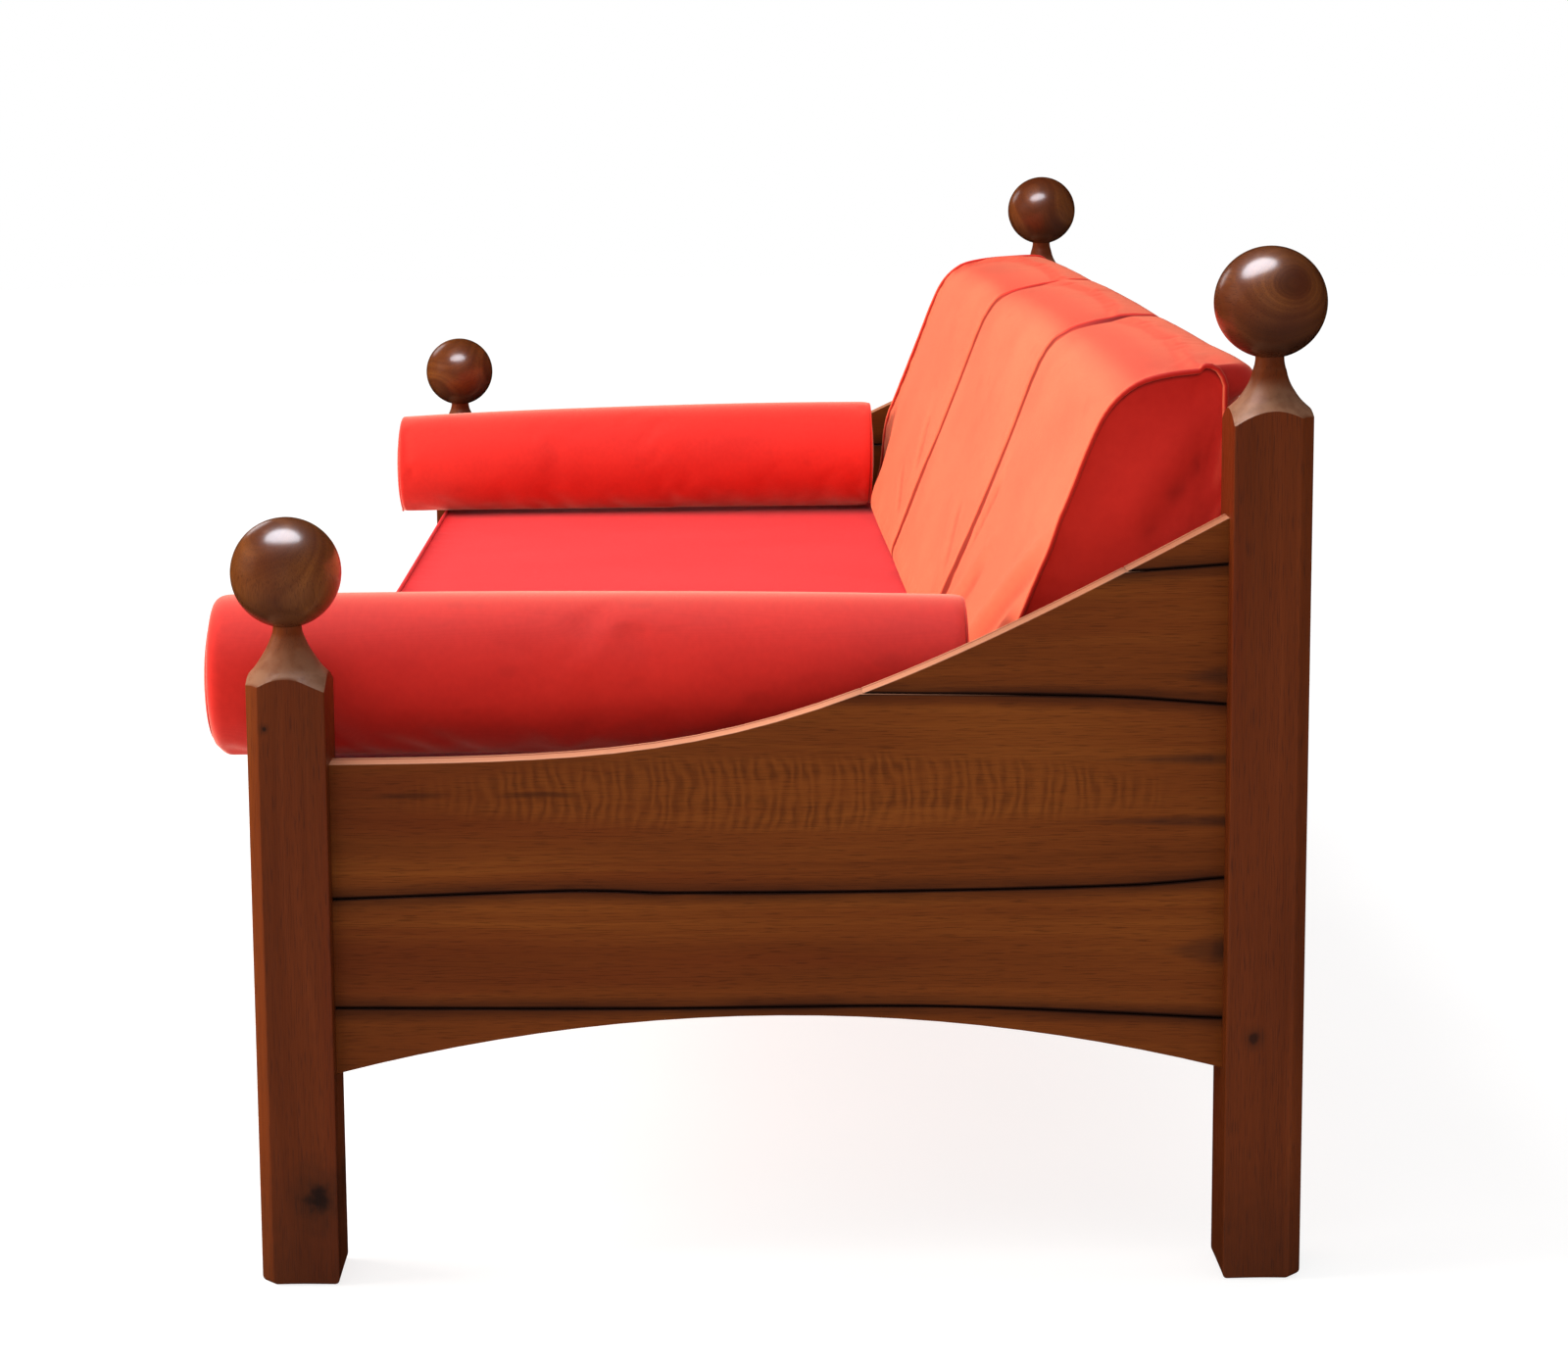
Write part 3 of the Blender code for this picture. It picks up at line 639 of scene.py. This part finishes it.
def make_board(node, long_axis, number, material):
    """A board as the CAD has it, with its arrises eased and its grain along it."""
    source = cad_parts[node]
    low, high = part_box(node)
    work = bmesh.new()
    work.from_mesh(source.data)
    bmesh.ops.remove_doubles(work, verts=work.verts, dist=1e-5)
    bmesh.ops.dissolve_limit(work, angle_limit=math.radians(0.4), verts=work.verts, edges=work.edges)
    sharp = [e for e in work.edges if len(e.link_faces) == 2 and e.calc_face_angle(0.0) > math.radians(35)]
    bmesh.ops.bevel(work, geom=sharp, offset=BOARD_EDGE, segments=3, profile=0.5, affect="EDGES", clamp_overlap=True)
    mesh = bpy.data.meshes.new(node + "_wood")
    work.to_mesh(mesh)
    work.free()
    obj = adopt(mesh, node + "_wood", board_wood[material], "frame", "walnut_boards", node)
    obj.modifiers.new("normals", "WEIGHTED_NORMAL").keep_sharp = True
    place = coordinates(mesh)
    # Each board is cut from another part of the tree.
    depth_axis = 1 - long_axis
    depth = place[:, depth_axis] - (low[depth_axis] + high[depth_axis]) / 2
    rise = place[:, 2] - (low.z + high.z) / 2
    mark(mesh, "grain", np.column_stack([place[:, long_axis] + 2.9 * number, rise + 0.013 * (number % 3 - 1), depth]))
    return obj


def mark_crest(mesh, joints):
    """Marks the sawn top edge of an end panel, which is all of a board's upper edge that isn't in a joint."""
    place = coordinates(mesh)
    crest = np.ones(len(place), bool)
    for number, line in joints.items():
        along, heights = np.array(line).T
        # The upper two joints start where the top edge cuts them.
        started = place[:, 1] > along[0] + (0.012 if number > 3 else -0.001)
        crest &= ~(started & (np.abs(place[:, 2] - np.interp(place[:, 1], along, heights)) < 0.003))
    mark(mesh, "crest", crest)


for side in SIDES:
    end_joints = {i: under_edge(f"end_board_{side}_{i}", 1) for i in range(2, 6)}
    for i in range(1, 6):
        board = make_board(f"end_board_{side}_{i}", 1, i + (10 if side == "left" else 0), f"end_{side}")
        mark_crest(board.data, end_joints)
for i in (1, 2):
    make_board(f"front_rail_{i}", 0, 20 + i, "rail")
for i in range(1, 5):
    make_board(f"back_board_{i}", 0, 30 + i, "back")

for node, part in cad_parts.items():
    for starts, material in HIDDEN_PARTS.items():
        if node.startswith(starts):
            for slot in part.material_slots:
                slot.material = material


# ------------ cushions

PRESSURE_FRAMES = 20


class Cushion:
    """A padded piece: a skin over loops, its pinned points, and how far the filling may push it.

    Its rings are the numbers of the two loops at its ends, which carry the piping.
    """

    def __init__(self, node, loops, pins, rings, cap, pressure, shrink):
        self.node, self.name, self.rings = node, node + "_cover", rings
        self.count = len(loops[0])
        self.points, self.faces = skin(loops)
        self.pins = np.concatenate([np.asarray(pins, float).ravel(), [0.5, 0.5]])
        self.cap, self.pressure, self.shrink = cap, pressure, shrink
        self.seam = np.zeros(len(self.points))

    def shade_seams(self, *rows):
        """Paints shade along whole loops, at seams and rims."""
        for row in rows:
            self.seam[row * self.count : (row + 1) * self.count] = 1.0

    def loop(self, row):
        return self.points[row * self.count : (row + 1) * self.count]

    def column(self, place):
        """The points at one place of each loop, from ring to ring."""
        first, last = self.rings
        return self.points[[row * self.count + place for row in range(first, last + 1)]]


def start_cloth(cushion):
    """A hidden copy of the cushion's skin with Cloth on it."""
    mesh = bpy.data.meshes.new(cushion.name + "_cloth")
    mesh.from_pydata([tuple(p) for p in cushion.points], [], cushion.faces)
    obj = add_object(mesh.name, mesh)
    group = obj.vertex_groups.new(name="pin")
    levels = np.round(cushion.pins, 2)
    for level in np.unique(levels[levels > 0]):
        group.add(np.flatnonzero(levels == level).tolist(), float(level), "REPLACE")
    cloth = obj.modifiers.new("Cloth", "CLOTH")
    settings = cloth.settings
    settings.quality = 6
    settings.mass = 0.25
    settings.tension_stiffness = settings.compression_stiffness = 25.0
    settings.shear_stiffness = 12.0
    settings.bending_stiffness = 0.35
    settings.use_pressure = True
    settings.uniform_pressure_force = cushion.pressure
    settings.shrink_min = cushion.shrink
    settings.vertex_group_mass = group.name
    settings.pin_stiffness = 2.0
    settings.effector_weights.gravity = 0.0
    cloth.collision_settings.use_collision = False
    cloth.collision_settings.use_self_collision = False
    cloth.point_cache.frame_start = 1
    cloth.point_cache.frame_end = PRESSURE_FRAMES
    return obj


def inflate(cushions):
    """Lets the filling's pressure push out every cushion's cover, then takes the shapes."""
    scene = bpy.context.scene
    cloths = [start_cloth(c) for c in cushions]
    scene.frame_start, scene.frame_end = 1, PRESSURE_FRAMES
    for step in range(1, PRESSURE_FRAMES + 1):
        scene.frame_set(step)
    graph = bpy.context.evaluated_depsgraph_get()
    for cushion, obj in zip(cushions, cloths):
        moved = coordinates(obj.evaluated_get(graph).data) - cushion.points
        length = np.linalg.norm(moved, axis=1)
        print(cushion.name, "moved at most", round(float(length.max()), 4), "mean", round(float(length.mean()), 4))
        limit = cushion.cap * np.tanh(length / cushion.cap) / np.maximum(length, 1e-9)
        cushion.points = cushion.points + moved * limit[:, None]
    for obj in cloths:
        mesh = obj.data
        bpy.data.objects.remove(obj)
        bpy.data.meshes.remove(mesh)
    scene.frame_set(1)


def cord(line, radius):
    """Points and quads of a thin cord along a closed line of points."""
    ahead = np.roll(line, -1, 0) - np.roll(line, 1, 0)
    ahead /= np.linalg.norm(ahead, axis=1)[:, None]
    # Any direction that the cord doesn't start along will do.
    normal = np.cross(ahead[0], (0.3, 0.5, 0.8))
    sides = 10
    turns = circle(sides)
    loops = []
    for at, direction in zip(line, ahead):
        normal = normal - direction * (normal @ direction)
        normal /= np.linalg.norm(normal)
        other = np.cross(direction, normal)
        loops.append(at + radius * (np.outer(np.cos(turns), normal) + np.outer(np.sin(turns), other)))
    count = len(loops)
    # The rings may come back turned after a lap, so the last joins the first at the nearest point.
    shift = int(np.argmin(np.linalg.norm(loops[0] - loops[-1][0], axis=1)))
    faces = []
    for i in range(count):
        a, b = i * sides, ((i + 1) % count) * sides
        move = shift if i == count - 1 else 0
        for j in range(sides):
            k = (j + 1) % sides
            faces.append((a + j, a + k, b + (k + move) % sides, b + (j + move) % sides))
    return np.concatenate(loops), faces


def show_cushion(cushion, cloth, slot, laps, cord_radius):
    """Shows the cushion's cover, and its piping along each of the named laps."""
    node = cushion.node
    obj = piece(cushion.name, cushion.points, cushion.faces, cloth, node, slot, node)
    mark(obj.data, "seam", cushion.seam)
    smoother = obj.modifiers.new("smooth", "SUBSURF")
    smoother.levels = smoother.render_levels = 1
    for name, lap in laps.items():
        piece(f"{node}_piping_{name}", *cord(lap, cord_radius), cloth, node, slot)


def bulge(share, power):
    """0 at both ends of a span and 1 in its middle."""
    return 1 - np.abs(2 * share - 1) ** power


def smooth_step(value):
    held = np.clip(value, 0, 1)
    return held * held * (3 - 2 * held)


def crease(cushion, start, end, width, height, push):
    """A soft fold of the cover that runs from one point to another, pushed out, with a dark furrow beside it."""
    start, run = np.array(start), np.array(end) - np.array(start)
    push = np.array(push) / np.linalg.norm(push)
    side = np.cross(run, push)
    side /= np.linalg.norm(side)
    rest = cushion.points - start
    share = rest @ run / (run @ run)
    off = rest - np.clip(share, 0, 1)[:, None] * run
    across = off @ side / width
    near = np.exp(-((off @ push) ** 2) / 0.03**2) * smooth_step(np.minimum(share + 0.15, 1.15 - share) / 0.4)
    wave = np.exp(-(across**2)) - 0.6 * np.exp(-((across - 1.5) ** 2))
    cushion.points += (height * wave * near)[:, None] * push
    # Little light reaches the bottom of the furrow.
    cushion.seam = np.maximum(cushion.seam, 0.48 * np.exp(-(((across - 1.4) / 0.7) ** 2)) * near)


# ------------ bolsters

# How far each bolster's ends stand out past its solid, how much its front end puffs out, the rounding of its front
# shoulder, how far its front end sinks and its back end rises, and its radius in front and at the back
FRONT_REACH = {"right": 0.008, "left": -0.003}
BACK_REACH = {"right": 0.004, "left": 0.000}
FRONT_PUFF = {"right": 0.007, "left": 0.005}
SHOULDER = {"right": 0.015, "left": 0.006}
TILT = {"right": (0.0, 0.0), "left": (-0.006, 0.002)}
BOLSTER_RADII = {"right": (0.0768, 0.0738), "left": (0.0732, 0.0772)}
BACK_PUFF = 0.006
# The rings of a bolster's end, as shares of its radius, and those next to its rim, by their distance from it
END_SHARES = (0.12, 0.3, 0.5, 0.68, 0.84, 0.93)
NEAR_RIM = np.array([0.0, 0.002, 0.005, 0.009, 0.014, 0.020])
# The ring just past the rim, and how the cover draws in towards the rim at the back
PAST_RIM, PAST_RIM_SHARE = 0.0012, 0.985
DRAWN_LENGTH, DRAWN_IN = 0.012, 0.003
# How much the filling may add to the radius, and how high the underside lies flat on the mattress
BOLSTER_SWELL, FLAT = 0.002, 0.0035


def make_bolster(side):
    node = f"bolster_{side}"
    low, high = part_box(node)
    x, seat = (low.x + high.x) / 2, low.z
    y0, y1 = low.y - FRONT_REACH[side], high.y + BACK_REACH[side]
    length = y1 - y0
    body = np.concatenate([NEAR_RIM, np.linspace(0.027, length - 0.027, 68), length - NEAR_RIM[::-1]])
    # Each station's place along Y, and its share of the radius
    stations = [(y0 - FRONT_PUFF[side] * (1 - share**2), share) for share in END_SHARES]
    stations.append((y0 + PAST_RIM, PAST_RIM_SHARE))
    rim = len(stations)
    stations += [(y0 + along, 1.0) for along in body]
    last = len(stations) - 1
    stations.append((y1 - PAST_RIM, PAST_RIM_SHARE))
    stations += [(y1 + BACK_PUFF * (1 - share**2), share) for share in END_SHARES[::-1]]
    front_radius, back_radius = BOLSTER_RADII[side]
    sunk, raised = TILT[side]
    turns = circle(62)
    loops, pins = [], []
    for i, (y, share) in enumerate(stations):
        run = min(1.0, max(0.0, (y - y0) / length))
        full = front_radius + (back_radius - front_radius) * run - BOLSTER_SWELL
        near_front = max(0.0, 1 - max(0.0, y - y0) / SHOULDER[side])
        near_back = max(0.0, 1 - max(0.0, y1 - y) / DRAWN_LENGTH)
        radius = full - SHOULDER[side] * (1 - math.sqrt(1 - near_front**2))
        radius -= DRAWN_IN * near_back**2
        rise = np.cos(turns) * radius * share
        z = rise + seat + full + (sunk * (1 - run) ** 2 + raised * run)
        z = np.where(z < seat + FLAT, seat + 0.0005 + (z - seat) * 0.15, z)
        loops.append(np.column_stack([np.sin(turns) * radius * share + x, np.full(len(turns), y), z]))
        held = 0.9 if i in (rim, last) else 0.0
        pins.append(np.maximum(held, (rise < -radius * 0.93) * 0.9 * (share == 1.0)))
    cushion = Cushion(node, loops, pins, (rim, last), 0.004, 2.5, -0.012)
    # Painted shade along the front rim and round the back end.
    cushion.shade_seams(rim, last - 1, last, last + 1)
    return cushion


# ------------ back cushion and mattress

# The back cushion has three panels between two sewn channels, and piping round its ends. This is its side view, from
# the foot of its front, up and over to its rear.
BACK_PROFILE = (
    (0.1960, 0.4655), (0.1935, 0.4800), (0.2110, 0.530), (0.2450, 0.612), (0.2815, 0.704), (0.3020, 0.757),
    (0.3190, 0.790), (0.3420, 0.811), (0.3680, 0.820), (0.4000, 0.824), (0.4400, 0.825), (0.4530, 0.820),
    (0.4590, 0.807),
)
PANEL_SEAM_X = 0.313
# Each channel falls away gently on its right-hand side and stands up steeply on its left.
SEAM_DEPTH, SEAM_SLOPE, SEAM_WALL = 0.0095, 0.050, 0.0045
PANEL_SWELL = 0.007
# The rings of the cushion's ends, as shares of its side view, how much they puff out, and where they gather
BACK_CAPS = (0.08, 0.2, 0.34, 0.48, 0.61, 0.73, 0.83, 0.91, 0.96)
BACK_END_PUFF = 0.006
BACK_SPINE = np.array([0.385, 0.60])
# How far the cover rises at its back corner, crowns along its top, leans forward, gives way low on its front, is
# pressed in by the left bolster's end, and draws in at its rear, below the corner's ear
CORNER_RISE, CROWN_RISE, LEAN, GIVE, HOLLOW, DRAW = 0.004, 0.006, 0.016, 0.007, 0.013, 0.034
# Points along the side view's front and top, and down its rear
FACE_POINTS, REAR_POINTS = 66, 30


def ramp_up(values, start, length):
    """0 up to the start, and 1 from a length after it."""
    return smooth_step((values - start) / length)


def make_back():
    node = "back_cushion"
    _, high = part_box(node)
    half = high.x - 0.002
    # Front and top as one smooth line, then down the rear and along the foot.
    face = resample(catmull(BACK_PROFILE, 8), FACE_POINTS)
    rear = np.linspace((0.4590, 0.801), (0.4590, 0.472), REAR_POINTS)
    foot = np.linspace((0.4540, 0.4655), (0.2060, 0.4650), REAR_POINTS - 6)
    loop = np.concatenate([face, rear, foot])
    count = len(loop)
    along = np.roll(loop, -1, 0) - np.roll(loop, 1, 0)
    outward = np.column_stack([-along[:, 1], along[:, 0]]) / np.linalg.norm(along, axis=1)[:, None]
    # How much each point of the loop may swell: the face and top do, the rear and foot do not.
    number = np.arange(FACE_POINTS)
    face_share = np.zeros(count)
    face_share[:FACE_POINTS] = np.clip(number / 5, 0, 1) * np.clip((FACE_POINTS - 1 - number) / 10, 0, 1)
    still = 1.0 - face_share
    # Where on the loop each of these shows
    y, z = loop.T
    crown = ramp_up(z, 0.74, 0.08)
    corner = ramp_up(y, 0.405, 0.04) * crown
    front = smooth_step((0.41 - y) / 0.07)
    leaning = (0.35 + 0.65 * ramp_up(z, 0.48, 0.12)) * front
    low_front = smooth_step((0.60 - z) / 0.10) * front
    rear_share = ramp_up(y, 0.39, 0.06)
    ear = ramp_up(z, 0.785, 0.020)
    centre = loop.mean(0) * 0.4 + BACK_SPINE * 0.6
    seams = (-PANEL_SEAM_X, PANEL_SEAM_X)
    edges = [-half, *seams, half]
    stations = []
    fine = (0.0015, 0.004, 0.008)
    for a, b in zip(edges, edges[1:]):
        inner = np.linspace(a + 0.016, b - 0.016, 54)
        stations += [a, *(a + f for f in fine), *inner, *(b - f for f in fine[::-1])]
    stations = np.array([*stations, half])
    loops, pins = [], []

    def add(x, share, depth, hold):
        yz = centre + (loop - centre) * share + outward * (depth * face_share)[:, None]
        yz[:, 1] += CORNER_RISE * ramp_up(x, 0.66, 0.22) * corner * share
        yz[:, 1] += CROWN_RISE * (1 - (x / half) ** 2) * crown * (share == 1.0)
        yz[:, 0] -= LEAN * smooth_step((0.30 - x) / 1.1) * leaning * share
        yz[:, 0] += GIVE * ramp_up(x, 0.30, 0.60) * low_front * share
        yz[:, 0] += HOLLOW * smooth_step((-0.775 - x) / 0.03) * low_front * share
        drawn = (1 - ear) * ramp_up(x, 0.80, 0.10) + ear * ramp_up(x, 0.915, 0.023)
        yz[:, 0] -= DRAW * drawn * rear_share * share
        loops.append(np.column_stack([np.full(count, x), yz]))
        pins.append(hold)

    def add_cap(end, shares):
        for share in shares:
            x = end * (half + BACK_END_PUFF * (1 - share**2))
            add(x, share, 0.0, 0.25 * still * (share > 0.9))

    add_cap(-1, BACK_CAPS)
    ring_left = len(loops)
    for x in stations:
        panel = int(np.clip(np.searchsorted(edges, x, "right") - 1, 0, 2))
        a, b = edges[panel], edges[panel + 1]
        depth = PANEL_SWELL * bulge((x - a) / (b - a), 2.6)
        for s in seams:
            reach = (x - s) / SEAM_SLOPE if x >= s else (s - x) / SEAM_WALL
            depth -= SEAM_DEPTH * max(0.0, 1 - reach) ** 1.6
        held = 0.0
        if abs(abs(x) - half) < 1e-6:
            held = 0.95
        elif x in seams:
            held = 0.9 * (face_share > 0)
        add(x, 1.0, depth, np.maximum(still * 0.9, held))
    ring_right = len(loops) - 1
    add_cap(1, BACK_CAPS[::-1])
    cushion = Cushion(node, loops, pins, (ring_left, ring_right), 0.006, 4.0, -0.010)
    # Painted shade along both piped ends.
    cushion.shade_seams(ring_left, ring_left + 1, ring_left + 2, ring_right - 1, ring_right)
    # Painted shade along each sewn channel.
    for s in seams:
        row = ring_left + int(np.argmin(np.abs(stations - s)))
        cushion.shade_seams(row - 1, row)
    return cushion


# The mattress is a boxed pad with piping round the top and bottom of its border. Its loops have this many points
# across it and down each side.
ACROSS, DOWN = 76, 8
# The numbers of the points at the upper and lower corners, front and rear
MATTRESS_CORNERS = {"top": (0, ACROSS - 1), "bottom": (2 * ACROSS + DOWN - 1, ACROSS + DOWN)}
MATTRESS_CAPS = (0.15, 0.45, 0.75, 0.93)
MATTRESS_CROWN, TOP_SINK = 0.0035, 0.0025


def make_mattress():
    node = "mattress"
    low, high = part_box(node)
    y0, y1, z0, z1 = low.y + 0.003, high.y - 0.003, low.z + 0.0005, high.z - 0.001
    half = high.x - 0.003
    top = np.column_stack([np.linspace(y0 + 0.006, y1 - 0.006, ACROSS), np.full(ACROSS, z1)])
    down = np.column_stack([np.full(DOWN, y1), np.linspace(z1 - 0.008, z0 + 0.008, DOWN)])
    under = top[::-1] * (1, 0) + (0, z0)
    up = np.column_stack([np.full(DOWN, y0), np.linspace(z0 + 0.008, z1 - 0.008, DOWN)])
    loop = np.concatenate([top, down, under, up])
    count = len(loop)
    inner = np.linspace(-half + 0.014, half - 0.014, 130)
    stations = np.concatenate([[-half, -half + 0.004], inner, [half - 0.004, half]])
    number = np.arange(count)
    on_top = number < ACROSS
    is_under = (number >= ACROSS + DOWN) & (number < 2 * ACROSS + DOWN)
    middle = np.array([(y0 + y1) / 2, (z0 + z1) / 2])
    loops, pins = [], []

    def add(x, share, hold):
        yz = middle + (loop - middle) * (1 - (1 - share) * np.array([0.11, 1.0]))
        loops.append(np.column_stack([np.full(count, x), yz]))
        pins.append(hold)

    for share in MATTRESS_CAPS:
        add(-half - 0.002 * (1 - share), share, np.zeros(count))
    left = len(loops)
    for x in stations:
        if abs(x) == half:
            hold = np.where(on_top | is_under, 0.9, 0.2)
        else:
            hold = np.where(is_under, 0.9, 0.0)
            hold[list(MATTRESS_CORNERS["top"])] = 0.8
        add(x, 1.0, hold)
        crown = MATTRESS_CROWN * bulge((x + half) / (2 * half), 8) * bulge((loop[:, 0] - y0) / (y1 - y0), 8)
        loops[-1][:, 2] += np.where(on_top, crown - TOP_SINK, 0)
    right = len(loops) - 1
    for share in MATTRESS_CAPS[::-1]:
        add(half + 0.002 * (1 - share), share, np.zeros(count))
    return Cushion(node, loops, pins, (left, right), 0.004, 1.0, -0.004)


bolsters = [make_bolster(side) for side in SIDES]
back = make_back()
mattress = make_mattress()
inflate([*bolsters, back, mattress])

# Soft folds in the back cushion: on its front, each from one X and Z to another, with its width and height, and
# across both its ends, each from one Y and Z to another, with its height
FRONT_FOLDS = (
    ((0.60, 0.490), (0.91, 0.680), 0.017, 0.0085),
    ((0.74, 0.490), (0.90, 0.610), 0.014, 0.0065),
    ((0.40, 0.500), (0.58, 0.620), 0.017, 0.0060),
    ((0.38, 0.590), (0.44, 0.680), 0.013, 0.0045),
    ((-0.36, 0.560), (-0.44, 0.640), 0.012, 0.0035),
    ((-0.38, 0.500), (-0.50, 0.560), 0.012, 0.0030),
    ((0.26, 0.520), (0.16, 0.600), 0.014, 0.0030),
)
END_FOLDS = (
    ((0.290, 0.575), (0.425, 0.690), 0.0050),
    ((0.285, 0.545), (0.425, 0.615), 0.0055),
    ((0.330, 0.680), (0.400, 0.770), 0.0035),
)
FRONT_OUT = (0.0, -0.93, 0.36)
END_X, END_FOLD_WIDTH = 0.944, 0.014


def front_point(x, z):
    """A point on the back cushion's front."""
    line = np.array(BACK_PROFILE[1:])
    return (x, float(np.interp(z, line[:, 1], line[:, 0])) - 0.006, z)


for start, end, width, height in FRONT_FOLDS:
    crease(back, front_point(*start), front_point(*end), width, height, FRONT_OUT)
for start, end, height in END_FOLDS:
    for side in SIDES.values():
        crease(back, (END_X * side, *start), (END_X * side, *end), END_FOLD_WIDTH, height, (side, 0.0, 0.0))

for cushion in bolsters:
    laps = {name: cushion.loop(row) for name, row in zip(ENDS, cushion.rings)}
    show_cushion(cushion, bolster_cloth, "red_bolster_fabric", laps, 0.0017)
laps = {name: back.loop(row) for name, row in zip(("left", "right"), back.rings)}
show_cushion(back, back_cloth, "red_back_fabric", laps, 0.0026)
laps = {}
for name, (front, rear) in MATTRESS_CORNERS.items():
    # Along the front, round the right-hand end, back along the rear and round the left-hand end
    step = 1 if rear > front else -1
    across = np.arange(front, rear + step, step)
    left_end, right_end = [mattress.loop(row)[across] for row in mattress.rings]
    lap = [mattress.column(front), right_end[1:], mattress.column(rear)[::-1][1:], left_end[::-1][1:-1]]
    laps[name] = np.concatenate(lap)
show_cushion(mattress, seat_cloth, "red_seat_fabric", laps, 0.0024)


# ------------ floor, light and camera

# The floor lies a hair below the feet.
FLOOR_R, FLOOR_Z = 14, -0.0005


def make_floor():
    g = Graph(bpy.data.materials.new("floor"))
    cloud = g.noise(g.place(), 3.0, 2.0)
    colour = g.ramp(cloud, ((0.3, (0.30, 0.30, 0.30)), (0.7, (0.32, 0.32, 0.32))))
    material = g.finish(colour, 0.9, Specular_IOR_Level=0.0, Emission_Color=(1, 1, 1, 1), Emission_Strength=0.78)
    mesh = bpy.data.meshes.new("floor")
    ring = [(FLOOR_R * math.cos(turn), FLOOR_R * math.sin(turn), FLOOR_Z) for turn in circle(96)]
    mesh.from_pydata(ring, [], [tuple(range(len(ring)))])
    mesh.materials.append(material)
    obj = add_object("floor", mesh)
    obj.visible_glossy = False


def soft_box(name, place, target, size, power, colour, mirrored=True, lit=True):
    """A studio soft box. One that isn't mirrored only lights the bed; one that isn't lit only shows in its polish."""
    data = bpy.data.lights.new(name, "AREA")
    data.shape = "RECTANGLE" if lit else "ELLIPSE"
    data.size, data.size_y = size
    data.energy, data.color = power, colour
    obj = add_object(name, data)
    obj.location = place
    obj.rotation_mode = "QUATERNION"
    obj.rotation_quaternion = (Vector(target) - Vector(place)).to_track_quat("-Z", "Y")
    obj.visible_glossy, obj.visible_diffuse = mirrored, lit


def make_world():
    """White to the camera; to everything else a dim room, brighter overhead and in front of the bed."""
    world = bpy.context.scene.world = bpy.data.worlds.new("studio")
    g = Graph(world, "Background")
    _, y, z = g.parts(g.node("TexCoord", {}))
    room = g.total(g.remap(z, -0.1, 0.9, 0.42, 0.72), g.remap(y, 0.6, -0.9, 0.0, 0.25))
    seen = g.node("LightPath", {})
    g.put(g.shader.inputs["Strength"], g.node("Mix", {0: seen, 2: room, 3: 1.0}, data_type="FLOAT"))
    g.put(g.shader.inputs["Color"], (1, 1, 1, 1))
    world.cycles_visibility.glossy = False


def make_camera():
    yaw, pitch, roll = CAMERA_YAW, CAMERA_PITCH, CAMERA_ROLL
    forward = Vector((-math.cos(yaw) * math.cos(pitch), math.sin(yaw) * math.cos(pitch), -math.sin(pitch)))
    right = forward.cross(Vector((0, 0, 1))).normalized()
    up = right.cross(forward)
    right, up = math.cos(roll) * right + math.sin(roll) * up, math.cos(roll) * up - math.sin(roll) * right
    data = bpy.data.cameras.new("camera")
    data.lens, data.sensor_width = CAMERA_LENS, CAMERA_SENSOR
    data.shift_x, data.shift_y = CAMERA_SHIFT
    obj = add_object("camera", data)
    obj.matrix_world = Matrix.Translation(CAMERA_PLACE) @ Matrix((right, up, -forward)).transposed().to_4x4()
    bpy.context.scene.camera = obj


make_floor()
make_world()
soft_box("overhead", (-0.1, -0.9, 3.2), (0, 0, 0.5), (2.2, 1.0), 60.0, (1.0, 0.98, 0.97), mirrored=False)
soft_box("window", (0.5, -4.2, 1.9), (0, 0, 0.55), (3.4, 2.2), 300.0, (1.0, 0.95, 0.88), mirrored=False)
soft_box("fill", (4.6, -0.8, 1.3), (0.9, 0, 0.5), (3.0, 1.8), 30.0, (1.0, 0.96, 0.92), mirrored=False)
soft_box("skylight", (1.0, -0.5, 3.2), (1.0, -0.1, 0.7), (1.7, 2.7), 190.0, (0.88, 0.91, 1.0), lit=False)
soft_box("far_window", (-3.6, -2.6, 2.6), (1.0, 0, 0.7), (1.6, 1.6), 12.0, (0.95, 0.96, 1.0), lit=False)
make_camera()
view = bpy.context.scene.view_settings
view.view_transform = "Standard"
view.look = "None"
cycles = bpy.context.scene.cycles
cycles.max_bounces, cycles.diffuse_bounces, cycles.glossy_bounces = 5, 3, 2
